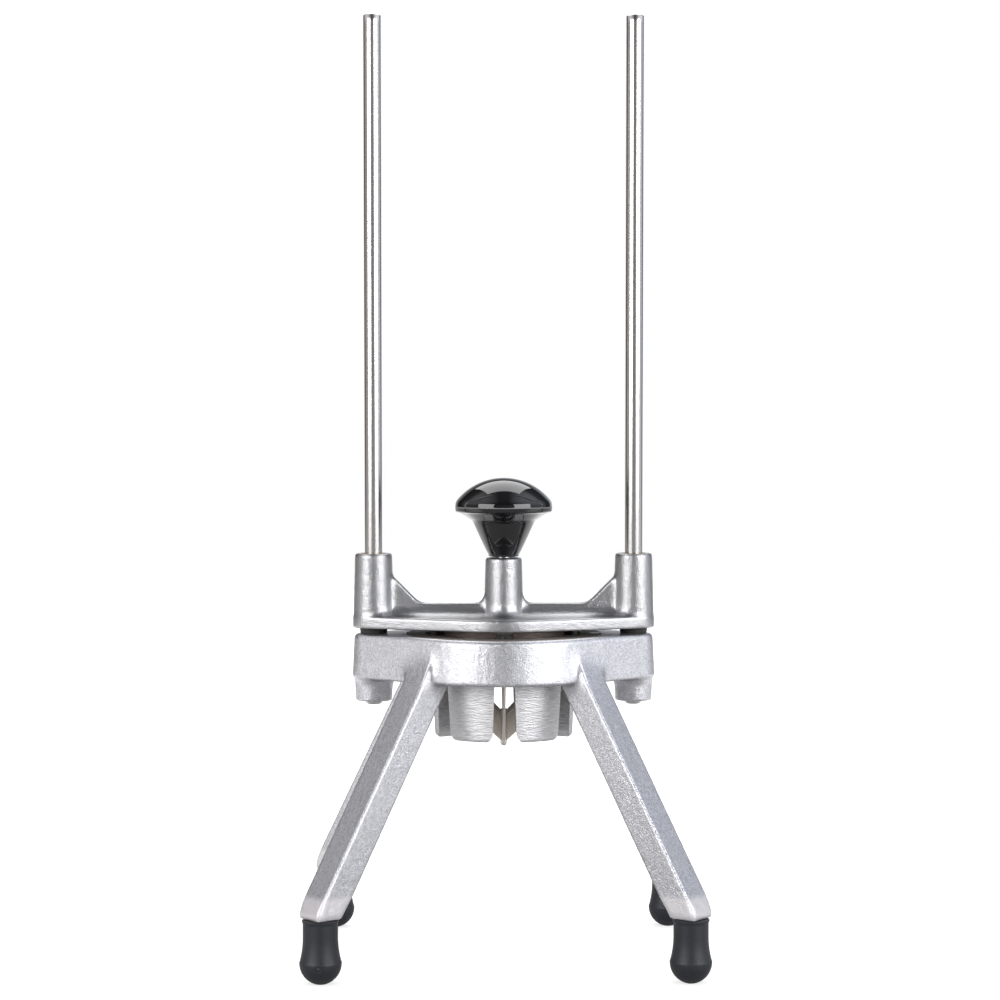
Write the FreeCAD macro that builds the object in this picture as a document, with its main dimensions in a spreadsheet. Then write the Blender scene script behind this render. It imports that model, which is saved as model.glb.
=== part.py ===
import FreeCAD, Part

import math
import os
from types import SimpleNamespace

import Sketcher

# Apple wedger press: a pusher head slides down two guide rods and drives its six wedge
# fingers between six blades, which a ring-shaped frame on four splayed legs carries.
# Millimetres, +Z up, X along the line of the two rods, origin on the floor under the axis.

WEDGE_COUNT = 6  # blades, and fingers between them
CLAMP_SCREW_COUNT = 3
BLOCK_SCREW_COUNT = 3
COUNTERSINK_SLOPE = -45.0  # degrees, a cone that narrows with depth
SAME_PLACE = 0.01  # edges this close to a height or plane lie on it

SIZES = {
    # guide rods
    "rod_diameter": 9.525,
    "rod_spacing": 141.5,
    "rod_length": 372.3,
    "rod_overhang": 2.1,
    "rod_nose_round": 2.0,
    "rod_top_chamfer": 0.9,
    "press_clearance": 0.02,
    "running_clearance": 0.04,
    "thread_clearance": 0.05,
    # feet
    "foot_spacing_x": 192.4,
    "foot_spacing_y": 154.4,
    "foot_height": 33.5,
    "foot_neck_radius": 9.15,
    "foot_neck_length": 9.0,
    "foot_bulge_radius": 11.1,
    "foot_bulge_height": 10.9,
    "foot_flat_radius": 3.0,
    "foot_stud_radius": 3.0,
    "foot_stud_depth": 12.0,
    "foot_stud_grip": 7.5,
    "foot_stud_head_radius": 6.0,
    "foot_stud_head_thick": 2.5,
    # legs
    "leg_width": 17.8,
    "leg_depth": 15.9,
    "leg_rise": 118.5,
    "leg_seat_depth": 3.6,
    "leg_edge_round": 0.8,
    "leg_toe_height": 7.5,
    "leg_toe_inset": 3.0,
    "leg_toe_bend_height": 3.0,
    "leg_toe_bend_inset": 0.8,
    "leg_root_height": 14.0,
    "leg_root_flare": 2.3,
    # frame ring and ears
    "ring_bore_radius": 46.3,
    "ring_rim_width": 4.3,
    "ring_height": 24.2,
    "ring_edge_round": 2.5,
    "ring_lower_round": 1.5,
    "ear_radius": 11.7,
    "casting_draft": 3.0,
    "frame_boss_radius": 10.5,
    "frame_boss_drop": 12.5,
    "set_screw_radius": 2.5,
    "set_screw_socket": 1.25,
    "set_screw_sunk": 0.9,
    # bumpers
    "bumper_thick": 3.1,
    "bumper_top_radius": 7.65,
    "bumper_bottom_radius": 7.2,
    # blades, their pin and their rings
    "blade_thick": 1.2,
    "blade_height": 16.7,
    "blade_angle": 40.7,
    "blade_rim_rise": 0.2,
    "blade_bevel": 1.75,
    "blade_edge_land": 0.1,
    "blade_tab_rise": 1.8,
    "blade_clearance": 0.03,
    "core_pin_radius": 1.9,
    "core_pin_drop": 2.4,
    "core_pin_rise": 2.2,
    "sleeve_wall": 3.7,
    "sleeve_clearance": 0.3,
    "sleeve_lift": 1.0,
    "carrier_flange_thick": 2.5,
    "clamp_ring_thick": 2.0,
    "clamp_seat_width": 6.9,
    "clamp_seat_clearance": 0.2,
    "clamp_screw_length": 11.0,
    "screw_radius": 1.75,
    "screw_head_radius": 3.1,
    "screw_socket": 1.1,
    "screw_socket_depth": 1.0,
    "screw_end_room": 1.0,
    # pusher head
    "plate_overhang": 1.65,
    "plate_end_radius": 11.3,
    "plate_thick": 6.7,
    "plate_edge_round": 1.0,
    "plate_recess_depth": 0.8,
    "plate_rim_width": 2.6,
    "guide_boss_radius": 11.2,
    "guide_boss_height": 33.8,
    "middle_boss_radius": 10.95,
    "middle_boss_height": 31.4,
    "boss_edge_round": 1.3,
    "boss_draft": 1.6,
    "web_thick": 8.0,
    "web_rise": 6.6,
    "web_edge_round": 1.0,
    "gusset_rise": 14.0,
    "gusset_angle": 45.0,
    "gusset_fillet": 10.0,
    "middle_fillet": 4.0,
    # guide bushings
    "bushing_wall": 1.59,
    "bushing_length": 12.0,
    "guide_bore_clearance": 0.54,
    # pusher block
    "finger_play": 2.2,
    "finger_taper": 2.7,
    "finger_length": 59.0,
    "finger_tip_round": 1.8,
    "slot_root_width": 9.0,
    "slot_tip_width": 13.0,
    "slot_chamfer_width": 2.7,
    "slot_chamfer_height": 4.2,
    "spigot_step": 4.1,
    "spigot_thick": 3.2,
    "block_screw_reach": 7.0,
    "block_screw_length": 13.5,
    # knob
    "knob_gap": 0.6,
    "knob_length": 42.7,
    "knob_radius": 26.3,
    "knob_dome_radius": 32.8,
    "knob_rim_round": 5.0,
    "knob_rim_band": 2.4,
    "knob_under_round": 1.2,
    "knob_under_drop": 4.4,
    "knob_stem_top_radius": 17.0,
    "knob_stem_bottom_radius": 8.2,
    "knob_base_round": 0.6,
    "insert_radius": 4.5,
    "insert_length": 16.0,
    "knob_stud_radius": 3.0,
    "knob_stud_in_boss": 11.0,
    "knob_stud_in_knob": 13.0,
}


class Size:
    """A number together with the sheet expression that gives it."""

    def __init__(self, number, text):
        self.number = number
        self.text = text

    def __add__(self, other):
        other = as_size(other)
        return Size(self.number + other.number, f"({self.text} + {other.text})")

    def __sub__(self, other):
        other = as_size(other)
        return Size(self.number - other.number, f"({self.text} - {other.text})")

    def __mul__(self, other):
        other = as_size(other)
        return Size(self.number * other.number, f"({self.text} * {other.text})")

    def __truediv__(self, other):
        other = as_size(other)
        return Size(self.number / other.number, f"({self.text} / {other.text})")

    def __neg__(self):
        return Size(-self.number, f"(0 - {self.text})")

    def __rsub__(self, other):
        return as_size(other) - self


def as_size(thing):
    """A plain number becomes a Size, and a Size stays as it is."""
    return thing if isinstance(thing, Size) else Size(float(thing), repr(float(thing)))


def root(size):
    return Size(math.sqrt(size.number), f"sqrt({size.text})")


def tangent(degrees):
    return Size(math.tan(math.radians(degrees.number)), f"tan({degrees.text})")


def cosine(degrees):
    return Size(math.cos(math.radians(degrees.number)), f"cos({degrees.text})")


def sine(degrees):
    return Size(math.sin(math.radians(degrees.number)), f"sin({degrees.text})")


def azimuth(y, x):
    angle = math.degrees(math.atan2(y.number, x.number))
    return Size(angle, f"atan2({y.text}; {x.text})")


def arc_radius(width, height):
    """Radius of an arc that rises by height, drifts by width and is upright at one end."""
    return (width * width + height * height) / (width * 2)


# --- document and sheet -----------------------------------------------------------------

doc = FreeCAD.newDocument("wedger_press")
sheet = doc.addObject("Spreadsheet::Sheet", "Sizes")
for row, (alias, number) in enumerate(SIZES.items(), start=1):
    sheet.set(f"A{row}", alias.replace("_", " "))
    sheet.set(f"B{row}", str(number))
    sheet.setAlias(f"B{row}", alias)
doc.recompute()

dim = SimpleNamespace(**{a: Size(n, f"Sizes.{a}") for a, n in SIZES.items()})
nodes = []


# --- features ---------------------------------------------------------------------------


def bind(thing, prop, amount):
    thing.setExpression(prop, as_size(amount).text)


def new_body(name):
    body = doc.addObject("PartDesign::Body", name)
    body.Label = name
    return body


def origin_item(body, role):
    return next(item for item in body.Origin.OriginFeatures if item.Role == role)


def new_sketch(body, name, role, lift=0, turn=None):
    """A sketch on one of the body's origin planes, lifted along its normal and, where a turn
    is given, turned about its own middle."""
    sketch = body.newObject("Sketcher::SketchObject", f"{body.Label}_{name}")
    sketch.AttachmentSupport = [(origin_item(body, role), "")]
    sketch.MapMode = "FlatFace"
    if turn is not None:
        spin = FreeCAD.Rotation(FreeCAD.Vector(0, 0, 1), turn.number)
        sketch.AttachmentOffset = FreeCAD.Placement(FreeCAD.Vector(), spin)
        bind(sketch, "AttachmentOffset.Rotation.Angle", turn)
    bind(sketch, "AttachmentOffset.Base.z", lift)
    return sketch


def pin_point(sketch, geometry, end, x, y):
    """Fixes one point of a sketch at sizes from the sheet, or on an axis where one is 0."""
    for kind, amount, axis in (("DistanceX", x, -2), ("DistanceY", y, -1)):
        if not isinstance(amount, Size):
            sketch.addConstraint(Sketcher.Constraint("PointOnObject", geometry, end, axis))
            continue
        rule = Sketcher.Constraint(kind, -1, 1, geometry, end, amount.number)
        index = sketch.addConstraint(rule)
        name = f"{kind.lower()}_{geometry}_{end}"
        sketch.renameConstraint(index, name)
        bind(sketch, f"Constraints.{name}", amount)


def pin_radius(sketch, geometry, radius):
    index = sketch.addConstraint(Sketcher.Constraint("Radius", geometry, radius.number))
    name = f"radius_{geometry}"
    sketch.renameConstraint(index, name)
    bind(sketch, f"Constraints.{name}", radius)


def flat(x, y):
    return FreeCAD.Vector(as_size(x).number, as_size(y).number, 0)


def arc_between(start, end, radius, leftward):
    """The shorter arc between two points, whose centre lies left or right of the way."""
    half = (end - start) / 2
    side = FreeCAD.Vector(-half.y, half.x, 0)
    side.normalize()
    reach = math.sqrt(max(radius * radius - half.Length * half.Length, 0))
    centre = start + half + side * (reach if leftward else -reach)
    first, last = (start, end) if leftward else (end, start)
    angles = [math.atan2(p.y - centre.y, p.x - centre.x) for p in (first, last)]
    circle = Part.Circle(centre, FreeCAD.Vector(0, 0, 1), radius)
    return Part.ArcOfCircle(circle, *angles)


def outline(sketch, corners):
    """A closed outline. A corner is (x, y), or (x, y, radius, "left" or "right") where an
    arc runs from it to the next corner with its centre on that side of the way."""
    ends = []
    for index, corner in enumerate(corners):
        following = corners[(index + 1) % len(corners)]
        start = flat(*corner[:2])
        end = flat(*following[:2])
        if len(corner) == 2:
            sketch.addGeometry(Part.LineSegment(start, end))
            ends.append((1, 2))
            continue
        leftward = corner[3] == "left"
        sketch.addGeometry(arc_between(start, end, corner[2].number, leftward))
        ends.append((1, 2) if leftward else (2, 1))
    for index, corner in enumerate(corners):
        following = (index + 1) % len(corners)
        meet = Sketcher.Constraint(
            "Coincident", index, ends[index][1], following, ends[following][0]
        )
        sketch.addConstraint(meet)
        pin_point(sketch, index, ends[index][0], *corner[:2])
        if len(corner) > 2:
            pin_radius(sketch, index, corner[2])


def circles(sketch, places):
    """Full circles, each place being (x, y, radius)."""
    for index, (x, y, radius) in enumerate(places):
        circle = Part.Circle(flat(x, y), FreeCAD.Vector(0, 0, 1), radius.number)
        sketch.addGeometry(circle)
        pin_point(sketch, index, 3, x, y)
        pin_radius(sketch, index, radius)


def feature(body, kind, sketch):
    made = body.newObject(f"PartDesign::{kind}", f"{sketch.Name}_{kind.lower()}")
    made.Profile = sketch
    sketch.Visibility = False
    body.Tip = made
    return made


def pad(body, sketch, length, taper=None, down=False, side="One side"):
    made = feature(body, "Pad", sketch)
    made.SideType = side
    made.Reversed = down
    bind(made, "Length", length)
    if taper is not None:
        bind(made, "TaperAngle", taper)
    return made


def pocket(body, sketch, depth=None, other_way=False):
    """Cuts against the sketch's normal, or along it, to a depth or right through."""
    made = feature(body, "Pocket", sketch)
    made.Reversed = other_way
    if depth is None:
        made.Type = "ThroughAll"
    else:
        bind(made, "Length", depth)
    return made


def revolve(body, sketch):
    made = feature(body, "Revolution", sketch)
    made.ReferenceAxis = (sketch, ["V_Axis"])
    made.Angle = 360.0
    return made


def around(body, original, count):
    """Repeats a feature evenly around the body's upright axis."""
    made = body.newObject("PartDesign::PolarPattern", f"{original.Name}_around")
    made.Originals = [original]
    made.Axis = (origin_item(body, "Z_Axis"), [""])
    made.Angle = 360.0
    made.Occurrences = count
    body.Tip = made
    return made


def dress(body, kind, prop, amount, wanted):
    """Rounds or bevels the edges of the body's tip that the test picks."""
    doc.recompute()
    base = body.Tip
    names = [f"Edge{n}" for n, edge in enumerate(base.Shape.Edges, 1) if wanted(edge)]
    if not names:
        raise RuntimeError(f"{body.Label}: no edge to {kind.lower()}")
    made = body.newObject(f"PartDesign::{kind}", f"{base.Name}_{kind.lower()}")
    made.Base = (base, names)
    bind(made, prop, amount)
    body.Tip = made
    return made


def at_level(edge, height):
    box = edge.BoundBox
    return max(abs(box.ZMin - height.number), abs(box.ZMax - height.number)) < SAME_PLACE


def turned(name, corners):
    """A body turned about its own upright axis from half of its outline."""
    body = new_body(name)
    sketch = new_sketch(body, "profile", "XZ_Plane")
    outline(sketch, corners)
    revolve(body, sketch)
    return body


def place(body, x=0, y=0, z=0, axis=(0, 0, 1), degrees=0.0):
    spin = FreeCAD.Rotation(FreeCAD.Vector(*axis), degrees)
    body.Placement = FreeCAD.Placement(flat(x, y), spin)
    for letter, amount in (("x", x), ("y", y), ("z", z)):
        bind(body, f"Placement.Base.{letter}", amount)
    return body


def group(name, members):
    """Identical small pieces that share one node."""
    made = doc.addObject("Part::Compound", name)
    made.Label = name
    made.Links = members
    nodes.append(made)
    return made


def box_corners(left, right, bottom, top):
    return [(left, bottom), (right, bottom), (right, top), (left, top)]


def hexagon(radius):
    """Corners of a hexagonal socket whose flats lie radius from the middle."""
    half = radius / math.sqrt(3)
    return [
        (half, -radius),
        (half * 2, 0),
        (half, radius),
        (-half, radius),
        (-half * 2, 0),
        (-half, -radius),
    ]


def polar_point(radius, degrees):
    angle = math.radians(degrees)
    shares = (round(math.cos(angle), 9), round(math.sin(angle), 9))
    return [radius * share if share else 0 for share in shares]


# --- heights and places that several pieces share -----------------------------------------

rod_radius = dim.rod_diameter / 2
rod_x = dim.rod_spacing / 2
bushing_radius = rod_radius + dim.bushing_wall
guide_bore_radius = rod_radius + dim.guide_bore_clearance
foot_x = dim.foot_spacing_x / 2
foot_y = dim.foot_spacing_y / 2
foot_reach = root(foot_x * foot_x + foot_y * foot_y)

counterbore_radius = dim.ring_bore_radius + dim.clamp_seat_width
ring_outer_radius = counterbore_radius + dim.ring_rim_width
clamp_outer_radius = counterbore_radius - dim.clamp_seat_clearance
clamp_screw_reach = dim.ring_bore_radius + dim.clamp_seat_width / 2
sleeve_radius = dim.ring_bore_radius - dim.sleeve_clearance
sleeve_bore_radius = sleeve_radius - dim.sleeve_wall
finger_root_radius = sleeve_bore_radius - dim.finger_play
finger_tip_radius = finger_root_radius - dim.finger_taper
spigot_radius = finger_root_radius - dim.spigot_step
plate_radius = finger_root_radius + dim.plate_overhang

ring_bottom = dim.foot_height + dim.leg_rise
ring_top = ring_bottom + dim.ring_height
frame_boss_bottom = ring_bottom - dim.frame_boss_drop
rod_bottom = frame_boss_bottom - dim.rod_overhang
rod_bore_radius = rod_radius + dim.press_clearance

plate_bottom = ring_top + dim.bumper_thick
plate_top = plate_bottom + dim.plate_thick
web_top = plate_top + dim.web_rise
guide_boss_top = plate_top + dim.guide_boss_height
middle_boss_top = plate_top + dim.middle_boss_height

clamp_bottom = ring_top - dim.clamp_ring_thick
carrier_seat = clamp_bottom - dim.carrier_flange_thick
screw_hole_radius = dim.screw_radius + dim.thread_clearance

blade_end_radius = sleeve_radius - dim.sleeve_clearance
blade_shoulder_radius = sleeve_bore_radius - dim.sleeve_clearance / 2
blade_rim_bottom = ring_bottom + dim.blade_rim_rise
blade_fall = tangent(dim.blade_angle)
blade_low = blade_rim_bottom - blade_fall * blade_shoulder_radius
blade_tab_bottom = blade_rim_bottom + dim.blade_tab_rise

spigot_top = plate_bottom + dim.spigot_thick
finger_tip = plate_bottom - dim.finger_length
knob_bottom = middle_boss_top + dim.knob_gap

step = 360.0 / WEDGE_COUNT
clamp_screw_angles = [k * 360.0 / CLAMP_SCREW_COUNT for k in range(CLAMP_SCREW_COUNT)]
block_screw_angles = [
    -90.0 + k * 360.0 / BLOCK_SCREW_COUNT for k in range(BLOCK_SCREW_COUNT)
]
clamp_screw_places = [polar_point(clamp_screw_reach, a) for a in clamp_screw_angles]
block_screw_places = [polar_point(dim.block_screw_reach, a) for a in block_screw_angles]
both_sides = {"left": -rod_x, "right": rod_x}
corner_feet = {
    "front_left": (-foot_x, -foot_y),
    "front_right": (foot_x, -foot_y),
    "rear_left": (-foot_x, foot_y),
    "rear_right": (foot_x, foot_y),
}


def eared_outline(radius, end_radius):
    """A round middle drawn out in straight tangents to a smaller round end at each rod."""
    lean = (radius - end_radius) / rod_x
    square = root(1 - lean * lean)
    end_in = rod_x + end_radius * lean
    end_out = end_radius * square
    side_in = radius * lean
    side_out = radius * square
    return [
        (end_in, -end_out, end_radius, "left"),
        (end_in, end_out),
        (side_in, side_out, radius, "left"),
        (-side_in, side_out),
        (-end_in, end_out, end_radius, "left"),
        (-end_in, -end_out),
        (-side_in, -side_out, radius, "left"),
        (side_in, -side_out),
    ]


def countersunk(body, name, places, level, hole_depth, upward):
    """Holes with a cone for a flat screw head, sunk up or down from a level."""
    sketch = new_sketch(body, name, "XY_Plane", lift=level)
    circles(sketch, [(x, y, screw_hole_radius) for x, y in places])
    pocket(body, sketch, hole_depth, other_way=upward)
    mouth = new_sketch(body, f"{name}_mouth", "XY_Plane", lift=level)
    rim = dim.screw_head_radius + dim.thread_clearance
    circles(mouth, [(x, y, rim) for x, y in places])
    sink = pocket(body, mouth, rim - screw_hole_radius, other_way=upward)
    sink.TaperAngle = COUNTERSINK_SLOPE


def flat_screw(name, length):
    """A countersunk screw with a hexagonal socket, its head's face at height 0."""
    cone_end = -(dim.screw_head_radius - dim.screw_radius)
    screw = turned(
        name,
        [
            (0, -length),
            (dim.screw_radius, -length),
            (dim.screw_radius, cone_end),
            (dim.screw_head_radius, 0),
            (0, 0),
        ],
    )
    socket = new_sketch(screw, "socket", "XY_Plane")
    outline(socket, hexagon(dim.screw_socket))
    pocket(screw, socket, dim.screw_socket_depth)
    return screw


# --- base: frame ----------------------------------------------------------------------


def rounded_box(left, right, half_width, radius):
    return [
        (left + radius, -half_width),
        (right - radius, -half_width, radius, "left"),
        (right, radius - half_width),
        (right, half_width - radius, radius, "left"),
        (right - radius, half_width),
        (left + radius, half_width, radius, "left"),
        (left, half_width - radius),
        (left, radius - half_width, radius, "left"),
    ]


def add_leg(body, name, x, y):
    """One bar that leans in from its foot to the ring's wall. Its outer face curls in to
    the foot at the toe and runs out steeper up the wall at the root."""
    bar_reach = foot_reach + dim.leg_toe_inset / 2
    seat_reach = ring_outer_radius - dim.leg_seat_depth
    spread = (bar_reach - seat_reach) / dim.leg_rise
    half_depth = dim.leg_depth * root(spread * spread + 1) / 2
    sections = []
    for rise, inset in (
        (as_size(0), dim.leg_toe_inset),
        (dim.leg_toe_bend_height, dim.leg_toe_bend_inset),
        (dim.leg_toe_height, as_size(0)),
        (dim.leg_rise, as_size(0)),
        (dim.leg_rise + dim.leg_root_height, -dim.leg_root_flare),
    ):
        reach = bar_reach - spread * rise
        sketch = new_sketch(
            body,
            f"leg_{name}_section_{len(sections) + 1}",
            "XY_Plane",
            lift=dim.foot_height + rise,
            turn=azimuth(y, x),
        )
        inner = reach - half_depth
        outer = reach + half_depth - inset
        outline(sketch, rounded_box(inner, outer, dim.leg_width / 2, dim.leg_edge_round))
        sections.append(sketch)
    leg = feature(body, "AdditiveLoft", sections[0])
    leg.Sections = sections[1:]
    leg.Ruled = True


frame = new_body("base_frame")
nodes.append(frame)
ring_sketch = new_sketch(frame, "ring", "XY_Plane", lift=ring_bottom)
outline(ring_sketch, eared_outline(ring_outer_radius, dim.ear_radius))
pad(frame, ring_sketch, dim.ring_height, taper=-dim.casting_draft)
dress(frame, "Fillet", "Radius", dim.ring_edge_round, lambda e: at_level(e, ring_top))
dress(frame, "Fillet", "Radius", dim.ring_lower_round, lambda e: at_level(e, ring_bottom))
for corner_name, (corner_x, corner_y) in corner_feet.items():
    add_leg(frame, corner_name, corner_x, corner_y)

boss_sketch = new_sketch(frame, "bosses", "XY_Plane", lift=ring_bottom)
circles(boss_sketch, [(x, 0, dim.frame_boss_radius) for x in both_sides.values()])
pad(frame, boss_sketch, dim.frame_boss_drop, taper=-dim.casting_draft, down=True)

bore_sketch = new_sketch(frame, "bore", "XY_Plane", lift=ring_top)
circles(bore_sketch, [(0, 0, dim.ring_bore_radius)])
pocket(frame, bore_sketch)
counterbore_sketch = new_sketch(frame, "counterbore", "XY_Plane", lift=ring_top)
circles(counterbore_sketch, [(0, 0, counterbore_radius)])
pocket(frame, counterbore_sketch, dim.clamp_ring_thick + dim.carrier_flange_thick)
rod_hole_sketch = new_sketch(frame, "rod_holes", "XY_Plane", lift=ring_top)
circles(rod_hole_sketch, [(x, 0, rod_bore_radius) for x in both_sides.values()])
pocket(frame, rod_hole_sketch)

set_screw_height = frame_boss_bottom + dim.frame_boss_drop / 2
set_hole_radius = dim.set_screw_radius + dim.thread_clearance
set_sketch = new_sketch(frame, "set_screw_holes", "XZ_Plane")
set_places = [(x, set_screw_height, set_hole_radius) for x in both_sides.values()]
circles(set_sketch, set_places)
pocket(frame, set_sketch)

clamp_hole_depth = dim.clamp_screw_length + dim.screw_end_room
clamp_hole_depth = clamp_hole_depth - dim.clamp_ring_thick - dim.carrier_flange_thick
clamp_hole_sketch = new_sketch(frame, "clamp_holes", "XY_Plane", lift=carrier_seat)
circles(clamp_hole_sketch, [(x, y, screw_hole_radius) for x, y in clamp_screw_places])
pocket(frame, clamp_hole_sketch, clamp_hole_depth)

stud_hole_radius = dim.foot_stud_radius + dim.thread_clearance
stud_sketch = new_sketch(frame, "stud_holes", "XY_Plane", lift=dim.foot_height)
circles(stud_sketch, [(x, y, stud_hole_radius) for x, y in corner_feet.values()])
pocket(frame, stud_sketch, dim.foot_stud_grip + dim.thread_clearance, other_way=True)


# --- base: rods, set screws, feet, bumpers ----------------------------------------------

rod_corners = [
    (0, 0),
    (rod_radius - dim.rod_nose_round, 0, dim.rod_nose_round, "left"),
    (rod_radius, dim.rod_nose_round),
    (rod_radius, dim.rod_length - dim.rod_top_chamfer),
    (rod_radius - dim.rod_top_chamfer, dim.rod_length),
    (0, dim.rod_length),
]
bumper_corners = [
    (rod_radius + dim.thread_clearance, 0),
    (dim.bumper_bottom_radius, 0),
    (dim.bumper_top_radius, dim.bumper_thick),
    (rod_radius + dim.thread_clearance, dim.bumper_thick),
]
for side_name, side_x in both_sides.items():
    rod = turned(f"guide_rod_{side_name}", rod_corners)
    nodes.append(place(rod, side_x, 0, rod_bottom))
    bumper = turned(f"bumper_{side_name}", bumper_corners)
    nodes.append(place(bumper, side_x, 0, ring_top))

set_screw_length = dim.frame_boss_radius - rod_radius - dim.set_screw_sunk
set_screw_corners = box_corners(0, dim.set_screw_radius, 0, set_screw_length)
set_screws = []
for side_name, side_x in both_sides.items():
    screw = turned(f"set_screw_{side_name}", set_screw_corners)
    socket = new_sketch(screw, "socket", "XY_Plane", lift=set_screw_length)
    outline(socket, hexagon(dim.set_screw_socket))
    pocket(screw, socket, set_screw_length / 2)
    place(screw, side_x, rod_radius, set_screw_height, axis=(1, 0, 0), degrees=-90.0)
    set_screws.append(screw)
group("rod_set_screws", set_screws)

stud_head_top = dim.foot_height - dim.foot_stud_depth
stud_head_bottom = stud_head_top - dim.foot_stud_head_thick
stud_room_radius = dim.foot_stud_head_radius + dim.thread_clearance
foot_corners = [
    (0, 0),
    (
        dim.foot_flat_radius,
        0,
        arc_radius(dim.foot_bulge_radius - dim.foot_flat_radius, dim.foot_bulge_height),
        "left",
    ),
    (
        dim.foot_bulge_radius,
        dim.foot_bulge_height,
        arc_radius(
            dim.foot_bulge_radius - dim.foot_neck_radius,
            dim.foot_height - dim.foot_neck_length - dim.foot_bulge_height,
        ),
        "right",
    ),
    (dim.foot_neck_radius, dim.foot_height - dim.foot_neck_length),
    (dim.foot_neck_radius, dim.foot_height),
    (stud_hole_radius, dim.foot_height),
    (stud_hole_radius, stud_head_top + dim.thread_clearance),
    (stud_room_radius, stud_head_top + dim.thread_clearance),
    (stud_room_radius, stud_head_bottom - dim.thread_clearance),
    (0, stud_head_bottom - dim.thread_clearance),
]
stud_corners = [
    (0, stud_head_bottom),
    (dim.foot_stud_head_radius, stud_head_bottom),
    (dim.foot_stud_head_radius, stud_head_top),
    (dim.foot_stud_radius, stud_head_top),
    (dim.foot_stud_radius, dim.foot_height + dim.foot_stud_grip),
    (0, dim.foot_height + dim.foot_stud_grip),
]
studs = []
for corner_name, (corner_x, corner_y) in corner_feet.items():
    foot = turned(f"rubber_foot_{corner_name}", foot_corners)
    nodes.append(place(foot, corner_x, corner_y))
    stud = turned(f"foot_stud_{corner_name}", stud_corners)
    studs.append(place(stud, corner_x, corner_y))
group("foot_studs", studs)


# --- base: blades, their pin and the rings that hold them ---------------------------------

sleeve_bottom = ring_bottom + dim.sleeve_lift
carrier = turned(
    "blade_carrier_ring",
    [
        (sleeve_bore_radius, sleeve_bottom),
        (sleeve_radius, sleeve_bottom),
        (sleeve_radius, carrier_seat),
        (clamp_outer_radius, carrier_seat),
        (clamp_outer_radius, clamp_bottom),
        (sleeve_bore_radius, clamp_bottom),
    ],
)
nodes.append(carrier)
slot_half = dim.blade_thick / 2 + dim.blade_clearance
slot_sketch = new_sketch(carrier, "blade_slot", "XY_Plane", lift=clamp_bottom)
slot_inner = -(sleeve_bore_radius - dim.blade_thick)
outline(slot_sketch, box_corners(-slot_half, slot_half, -sleeve_radius, slot_inner))
blade_slot = pocket(carrier, slot_sketch, clamp_bottom - blade_tab_bottom)
around(carrier, blade_slot, WEDGE_COUNT)
carrier_holes = new_sketch(carrier, "screw_holes", "XY_Plane", lift=clamp_bottom)
circles(carrier_holes, [(x, y, screw_hole_radius) for x, y in clamp_screw_places])
pocket(carrier, carrier_holes)

clamp = turned(
    "blade_clamp_ring",
    box_corners(sleeve_bore_radius, clamp_outer_radius, clamp_bottom, ring_top),
)
nodes.append(clamp)
countersunk(clamp, "screw_holes", clamp_screw_places, ring_top, None, False)

clamp_screws = []
for number, (x, y) in enumerate(clamp_screw_places, 1):
    screw = flat_screw(f"clamp_screw_{number}", dim.clamp_screw_length)
    clamp_screws.append(place(screw, x, y, ring_top))
group("blade_ring_screws", clamp_screws)

blade_inner_low = blade_low + blade_fall * dim.core_pin_radius
blade_corners = [
    (dim.core_pin_radius, blade_inner_low),
    (blade_shoulder_radius, blade_rim_bottom),
    (blade_shoulder_radius, blade_tab_bottom),
    (blade_end_radius, blade_tab_bottom),
    (blade_end_radius, clamp_bottom),
    (blade_shoulder_radius, clamp_bottom),
    (blade_shoulder_radius, blade_rim_bottom + dim.blade_height),
    (dim.core_pin_radius, blade_inner_low + dim.blade_height),
]


def is_cutting_edge(edge):
    """The long sloping edges on the blade's upper side."""
    middle = (blade_inner_low + blade_rim_bottom) / 2 + dim.blade_height
    long_enough = edge.Length > dim.blade_height.number
    return long_enough and abs(edge.CenterOfMass.z - middle.number) < SAME_PLACE


for number in range(WEDGE_COUNT):
    blade = new_body(f"blade_{number + 1}")
    blade_sketch = new_sketch(blade, "profile", "XZ_Plane")
    outline(blade_sketch, blade_corners)
    pad(blade, blade_sketch, dim.blade_thick, side="Symmetric")
    for side_sign in (1, -1):
        bevel = dress(
            blade,
            "Chamfer",
            "Size",
            dim.blade_thick / 2 - dim.blade_edge_land,
            lambda e: is_cutting_edge(e) and e.CenterOfMass.y * side_sign > 0,
        )
        bevel.ChamferType = "Two distances"
        bind(bevel, "Size2", dim.blade_bevel)
    nodes.append(place(blade, degrees=-90.0 + number * step))

pin_bottom = blade_low - dim.core_pin_drop
pin_top = blade_low + dim.blade_height + dim.core_pin_rise
nodes.append(
    turned(
        "core_pin",
        [
            (0, pin_bottom, dim.core_pin_radius, "left"),
            (dim.core_pin_radius, pin_bottom + dim.core_pin_radius),
            (dim.core_pin_radius, pin_top - dim.core_pin_radius),
            (0, pin_top),
        ],
    )
)


# --- pusher: head --------------------------------------------------------------------

head = new_body("pusher_head")
nodes.append(head)
plate_sketch = new_sketch(head, "plate", "XY_Plane", lift=plate_bottom)
outline(plate_sketch, eared_outline(plate_radius, dim.plate_end_radius))
pad(head, plate_sketch, dim.plate_thick)
dress(head, "Fillet", "Radius", dim.plate_edge_round, lambda e: at_level(e, plate_top))
recess_sketch = new_sketch(head, "recess", "XY_Plane", lift=plate_top)
recess_radius = plate_radius - dim.plate_rim_width
recess_end = dim.plate_end_radius - dim.plate_rim_width
outline(recess_sketch, eared_outline(recess_radius, recess_end))
pocket(head, recess_sketch, dim.plate_recess_depth)

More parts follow.
